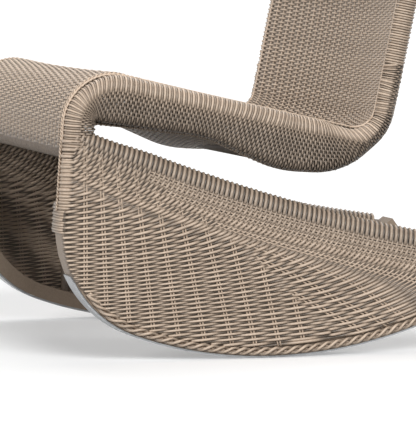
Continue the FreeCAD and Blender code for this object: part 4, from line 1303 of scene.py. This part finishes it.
# Braids.
BRAID_TWIST = 0.048
BRAID_DEPTH = 0.0105
BRAID_FRONT_HEIGHT = 0.105
BRAID_POINTS = 0.004
BRAID_STRANDS = 3
BRAID_THICKNESS = 1.35
BRAID_RISE = 0.0040
BRAID_OUT = 0.0028
BRAID_SINK = 0.0008
BRAID_TAPER = 0.5
BRAID_TAPER_REACH = 0.05


class CHAIR_OT_braid_borders(bpy.types.Operator):
    """Braid the border along the bottom of each fin"""

    bl_idname = "chair.braid_borders"
    bl_label = "Braid Borders"

    def execute(self, context):
        sizes = context.scene.chair_weave
        line = rocker_line(BRAID_DEPTH, ROCKER_REAR_REACH, BRAID_FRONT_HEIGHT)
        distance = np.arange(0, line.length, BRAID_POINTS)
        place, way = line.at(distance)
        up = -left_of(way)
        taper = smooth((line.length - distance) / BRAID_TAPER_REACH) * BRAID_TAPER + 1 - BRAID_TAPER
        for name, side in SIDES:
            strands = Strands(f"{name}_braid", sizes.wrap_radius, SEEDS["braids"] + side)
            for strand in range(BRAID_STRANDS):
                turn = 2 * math.pi * (distance / BRAID_TWIST + strand / BRAID_STRANDS)
                spots = place + up * (BRAID_RISE * np.cos(turn) * taper)[:, None]
                x = side * (FIN_X - BRAID_SINK + BRAID_OUT * np.sin(turn))
                around = in_space(side * np.sin(turn), up * np.cos(turn)[:, None])
                strands.lay(in_space(x, spots), BRAID_THICKNESS, 1.0, around)
            finish_strands(strands, f"{name}_border_braid")
        return {"FINISHED"}


# Finishes.
def new_material(name):
    material = bpy.data.materials.new(name)
    material.use_nodes = True
    return material, material.node_tree.nodes, material.node_tree.links


def speckle_group():
    """Shared effect: fine grain and broad patches, from 0 to 1, over object coordinates."""
    group = bpy.data.node_groups.get("speckle")
    if group:
        return group
    group = bpy.data.node_groups.new("speckle", "ShaderNodeTree")
    group.interface.new_socket("Grain Scale", in_out="INPUT", socket_type="NodeSocketFloat")
    group.interface.new_socket("Stretch", in_out="INPUT", socket_type="NodeSocketVector")
    group.interface.new_socket("Grain", in_out="OUTPUT", socket_type="NodeSocketFloat")
    group.interface.new_socket("Patches", in_out="OUTPUT", socket_type="NodeSocketFloat")
    nodes, links = group.nodes, group.links
    inlet, outlet = nodes.new("NodeGroupInput"), nodes.new("NodeGroupOutput")
    place = nodes.new("ShaderNodeTexCoord")
    stretch = nodes.new("ShaderNodeVectorMath")
    stretch.operation = "MULTIPLY"
    grain, patches = nodes.new("ShaderNodeTexNoise"), nodes.new("ShaderNodeTexNoise")
    grain.inputs["Detail"].default_value = 3
    patches.inputs["Scale"].default_value = 11
    links.new(place.outputs["Object"], stretch.inputs[0])
    links.new(inlet.outputs["Stretch"], stretch.inputs[1])
    links.new(stretch.outputs[0], grain.inputs["Vector"])
    links.new(inlet.outputs["Grain Scale"], grain.inputs["Scale"])
    links.new(place.outputs["Object"], patches.inputs["Vector"])
    for noise, name in ((grain, "Grain"), (patches, "Patches")):
        spread = nodes.new("ShaderNodeMapRange")
        spread.inputs["From Min"].default_value = 0.3
        spread.inputs["From Max"].default_value = 0.7
        links.new(noise.outputs["Fac"], spread.inputs["Value"])
        links.new(spread.outputs["Result"], outlet.inputs[name])
    return group


def add_speckle(nodes, scale, stretch=(1, 1, 1)):
    speckle = nodes.new("ShaderNodeGroup")
    speckle.node_tree = speckle_group()
    speckle.inputs["Grain Scale"].default_value = scale
    speckle.inputs["Stretch"].default_value = stretch
    return speckle


def add_mix(nodes, links, factor, first, second, blend="MIX"):
    """A colour mix. Each colour is three numbers or a socket."""
    mix = nodes.new("ShaderNodeMix")
    mix.data_type = "RGBA"
    mix.blend_type = blend
    for value, name in ((factor, "Factor"), (first, "A"), (second, "B")):
        entry = next(s for s in mix.inputs if s.name == name and s.enabled)
        if isinstance(value, bpy.types.NodeSocket):
            links.new(value, entry)
        elif name == "Factor":
            entry.default_value = value
        else:
            entry.default_value = (*value, 1)
    return next(s for s in mix.outputs if s.enabled)


def add_range(nodes, links, value, low, high):
    spread = nodes.new("ShaderNodeMapRange")
    links.new(value, spread.inputs["Value"])
    spread.inputs["To Min"].default_value = low
    spread.inputs["To Max"].default_value = high
    return spread.outputs["Result"]


def add_bump(nodes, links, shader, height, depth):
    bump = nodes.new("ShaderNodeBump")
    bump.inputs["Distance"].default_value = depth
    links.new(height, bump.inputs["Height"])
    links.new(bump.outputs["Normal"], shader.inputs["Normal"])


def strand_finish():
    """Plastic strand: its tone and its painted shade, a fine grain and a satin sheen."""
    material = bpy.data.materials.get("strand_plastic")
    if material:
        return material
    colours = bpy.context.scene.chair_colours
    material, nodes, links = new_material("strand_plastic")
    shader = nodes["Principled BSDF"]
    tone, shade = nodes.new("ShaderNodeAttribute"), nodes.new("ShaderNodeAttribute")
    tone.attribute_name, shade.attribute_name = "strand_tone", "strand_painted_shade"
    speckle = add_speckle(nodes, 260)
    blend = nodes.new("ShaderNodeMix")
    blend.inputs["Factor"].default_value = 0.45
    links.new(tone.outputs["Fac"], blend.inputs["A"])
    links.new(speckle.outputs["Grain"], blend.inputs["B"])
    colour = add_mix(nodes, links, blend.outputs["Result"], colours.strand_dark, colours.strand_light)
    colour = add_mix(nodes, links, 1.0, colour, shade.outputs["Color"], "MULTIPLY")
    links.new(colour, shader.inputs["Base Color"])
    links.new(add_range(nodes, links, speckle.outputs["Grain"], 0.34, 0.48), shader.inputs["Roughness"])
    add_bump(nodes, links, shader, speckle.outputs["Grain"], 0.0002)
    return material


def coated_finish(name, colour, worn, roughness):
    """Paint or powder coat: a little mottled and paler in patches."""
    material, nodes, links = new_material(name)
    shader = nodes["Principled BSDF"]
    speckle = add_speckle(nodes, 420)
    faint = add_range(nodes, links, speckle.outputs["Patches"], 0.0, 0.5)
    colour = add_mix(nodes, links, faint, colour, worn)
    fleck = add_range(nodes, links, speckle.outputs["Grain"], 0.86, 1.08)
    colour = add_mix(nodes, links, 1.0, colour, fleck, "MULTIPLY")
    links.new(colour, shader.inputs["Base Color"])
    rough = add_range(nodes, links, speckle.outputs["Patches"], roughness, roughness + 0.12)
    links.new(rough, shader.inputs["Roughness"])
    add_bump(nodes, links, shader, speckle.outputs["Grain"], 0.0002)
    return material


def metal_finish(name, colour, worn):
    """Metal strip, brushed along its length and duller in patches."""
    material, nodes, links = new_material(name)
    shader = nodes["Principled BSDF"]
    speckle = add_speckle(nodes, 900, (1, 0.04, 1))
    brushed = add_mix(nodes, links, speckle.outputs["Grain"], worn, colour)
    links.new(brushed, shader.inputs["Base Color"])
    links.new(add_range(nodes, links, speckle.outputs["Patches"], 0.28, 0.5), shader.inputs["Roughness"])
    shader.inputs["Metallic"].default_value = 1.0
    add_bump(nodes, links, shader, speckle.outputs["Grain"], 0.0001)
    return material


class CHAIR_OT_finish_frame(bpy.types.Operator):
    """Give the tubes, rocker bars and glides of the frame their finishes"""

    bl_idname = "chair.finish_frame"
    bl_label = "Finish Frame"

    def execute(self, context):
        colours = context.scene.chair_colours
        bar = coated_finish("bar_coat", colours.bar_paint, colours.bar_worn, 0.45)
        # The tubes' dark coat is painted shade for the inside of the weave.
        tube = coated_finish("tube_coat_painted_shade", colours.tube_painted_shade, colours.tube_worn_painted_shade, 0.5)
        glide = metal_finish("glide_strip", colours.glide_metal, colours.glide_worn)
        for name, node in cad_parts.items():
            if "glide" in name:
                material = glide
            elif "bar" in name or "plate" in name or "cap" in name or "stretcher" in name:
                material = bar
            else:
                material = tube
            node.data.materials.clear()
            node.data.materials.append(material)
        return {"FINISHED"}


# Stage. The camera and reflections see a brighter floor and backdrop than the ones that light the chair.
FLOOR_SIZE = 60
FLOOR_GLOW = 0.30
FLOOR_SEEN = 0.75
FLOOR_BOUNCE = 0.16
WORLD_LIGHT = 0.08
LAMPS = (
    ("top_lamp", (0.42, -0.30, -0.86), 1.4, 55),
    ("front_lamp", (-0.30, 0.87, -0.38), 1.9, 40),
    ("side_lamp", (-0.84, -0.05, -0.50), 2.5, 30),
)
EYE = (5.8075, -1.7317, 0.6479)
AIM = (0.0, -0.0463, 0.1894)
LENS = 328.85
SENSOR = 36.0
SIGHT = 200.0


def add_grey(nodes, kind, level):
    shader = nodes.new(kind)
    shader.inputs["Color"].default_value = (level, level, level, 1)
    return shader


def show_other(nodes, links, lighting, shown, output):
    """Lights the scene by one shader and shows another to the camera and in reflections."""
    path = nodes.new("ShaderNodeLightPath")
    seen = nodes.new("ShaderNodeMath")
    seen.operation = "MAXIMUM"
    links.new(path.outputs["Is Camera Ray"], seen.inputs[0])
    links.new(path.outputs["Is Glossy Ray"], seen.inputs[1])
    mix = nodes.new("ShaderNodeMixShader")
    for number, node in enumerate((seen, lighting, shown)):
        links.new(node.outputs[0], mix.inputs[number])
    links.new(mix.outputs[0], nodes[output].inputs["Surface"])


def link_facing(scene, name, data, way):
    """Puts a lamp or camera in the scene, looking along a way."""
    holder = bpy.data.objects.new(name, data)
    holder.rotation_mode = "QUATERNION"
    holder.rotation_quaternion = way.to_track_quat("-Z", "Y")
    scene.collection.objects.link(holder)
    return holder


class CHAIR_OT_set_stage(bpy.types.Operator):
    """Set the floor, the lamps, the backdrop and the camera"""

    bl_idname = "chair.set_stage"
    bl_label = "Set Stage"

    def execute(self, context):
        scene = context.scene
        scene.view_settings.view_transform = "Standard"
        self.lay_floor(scene)
        self.light_world(scene)
        for name, direction, strength, spread in LAMPS:
            lamp = bpy.data.lights.new(name, "SUN")
            lamp.energy = strength
            lamp.angle = math.radians(spread)
            link_facing(scene, name, lamp, Vector(direction))
        camera = bpy.data.cameras.new("camera")
        camera.lens = LENS
        camera.sensor_width = SENSOR
        camera.clip_end = SIGHT
        scene.camera = link_facing(scene, "camera", camera, Vector(AIM) - Vector(EYE))
        scene.camera.location = EYE
        return {"FINISHED"}

    def lay_floor(self, scene):
        shape = bmesh.new()
        bmesh.ops.create_grid(shape, x_segments=1, y_segments=1, size=FLOOR_SIZE)
        mesh = bpy.data.meshes.new("floor")
        shape.to_mesh(mesh)
        shape.free()
        floor = bpy.data.objects.new("floor", mesh)
        scene.collection.objects.link(floor)
        material, nodes, links = new_material("floor")
        nodes.remove(nodes["Principled BSDF"])
        shown = add_grey(nodes, "ShaderNodeBsdfDiffuse", FLOOR_SEEN)
        bounce = add_grey(nodes, "ShaderNodeBsdfDiffuse", FLOOR_BOUNCE)
        glow = nodes.new("ShaderNodeEmission")
        glow.inputs["Strength"].default_value = FLOOR_GLOW
        bright = nodes.new("ShaderNodeAddShader")
        links.new(shown.outputs[0], bright.inputs[0])
        links.new(glow.outputs[0], bright.inputs[1])
        show_other(nodes, links, bounce, bright, "Material Output")
        mesh.materials.append(material)

    def light_world(self, scene):
        world = bpy.data.worlds.new("backdrop")
        scene.world = world
        world.use_nodes = True
        nodes, links = world.node_tree.nodes, world.node_tree.links
        plain = nodes["Background"]
        plain.inputs["Color"].default_value = (1, 1, 1, 1)
        plain.inputs["Strength"].default_value = WORLD_LIGHT
        white = add_grey(nodes, "ShaderNodeBackground", 1)
        show_other(nodes, links, plain, white, "World Output")


class CHAIR_PT_panel(bpy.types.Panel):
    """Buttons that make the chair's pieces, with their sizes and colours"""

    bl_idname = "CHAIR_PT_panel"
    bl_label = "Rocking Chair"
    bl_space_type = "VIEW_3D"
    bl_region_type = "UI"
    bl_category = "Rocking Chair"

    def draw(self, context):
        for operator in OPERATORS:
            self.layout.operator(operator.bl_idname)
        for group in (context.scene.chair_weave, context.scene.chair_colours):
            for name in group.__annotations__:
                self.layout.prop(group, name)


OPERATORS = (
    CHAIR_OT_weave_faces,
    CHAIR_OT_weave_underside,
    CHAIR_OT_roll_seat_edges,
    CHAIR_OT_lay_seam_cords,
    CHAIR_OT_wrap_back_edges,
    CHAIR_OT_wrap_cross_tubes,
    CHAIR_OT_weave_fins,
    CHAIR_OT_braid_borders,
    CHAIR_OT_finish_frame,
    CHAIR_OT_set_stage,
)
CLASSES = (WeaveSizes, ChairColours, *OPERATORS, CHAIR_PT_panel)


def register():
    for cls in CLASSES:
        bpy.utils.register_class(cls)
    bpy.types.Scene.chair_weave = bpy.props.PointerProperty(type=WeaveSizes)
    bpy.types.Scene.chair_colours = bpy.props.PointerProperty(type=ChairColours)


def unregister():
    del bpy.types.Scene.chair_colours
    del bpy.types.Scene.chair_weave
    for cls in reversed(CLASSES):
        bpy.utils.unregister_class(cls)


def main():
    register()
    bpy.ops.chair.weave_faces()
    bpy.ops.chair.weave_underside()
    bpy.ops.chair.roll_seat_edges()
    bpy.ops.chair.lay_seam_cords()
    bpy.ops.chair.wrap_back_edges()
    bpy.ops.chair.wrap_cross_tubes()
    bpy.ops.chair.weave_fins()
    bpy.ops.chair.braid_borders()
    bpy.ops.chair.finish_frame()
    bpy.ops.chair.set_stage()


if __name__ == "__main__":
    main()
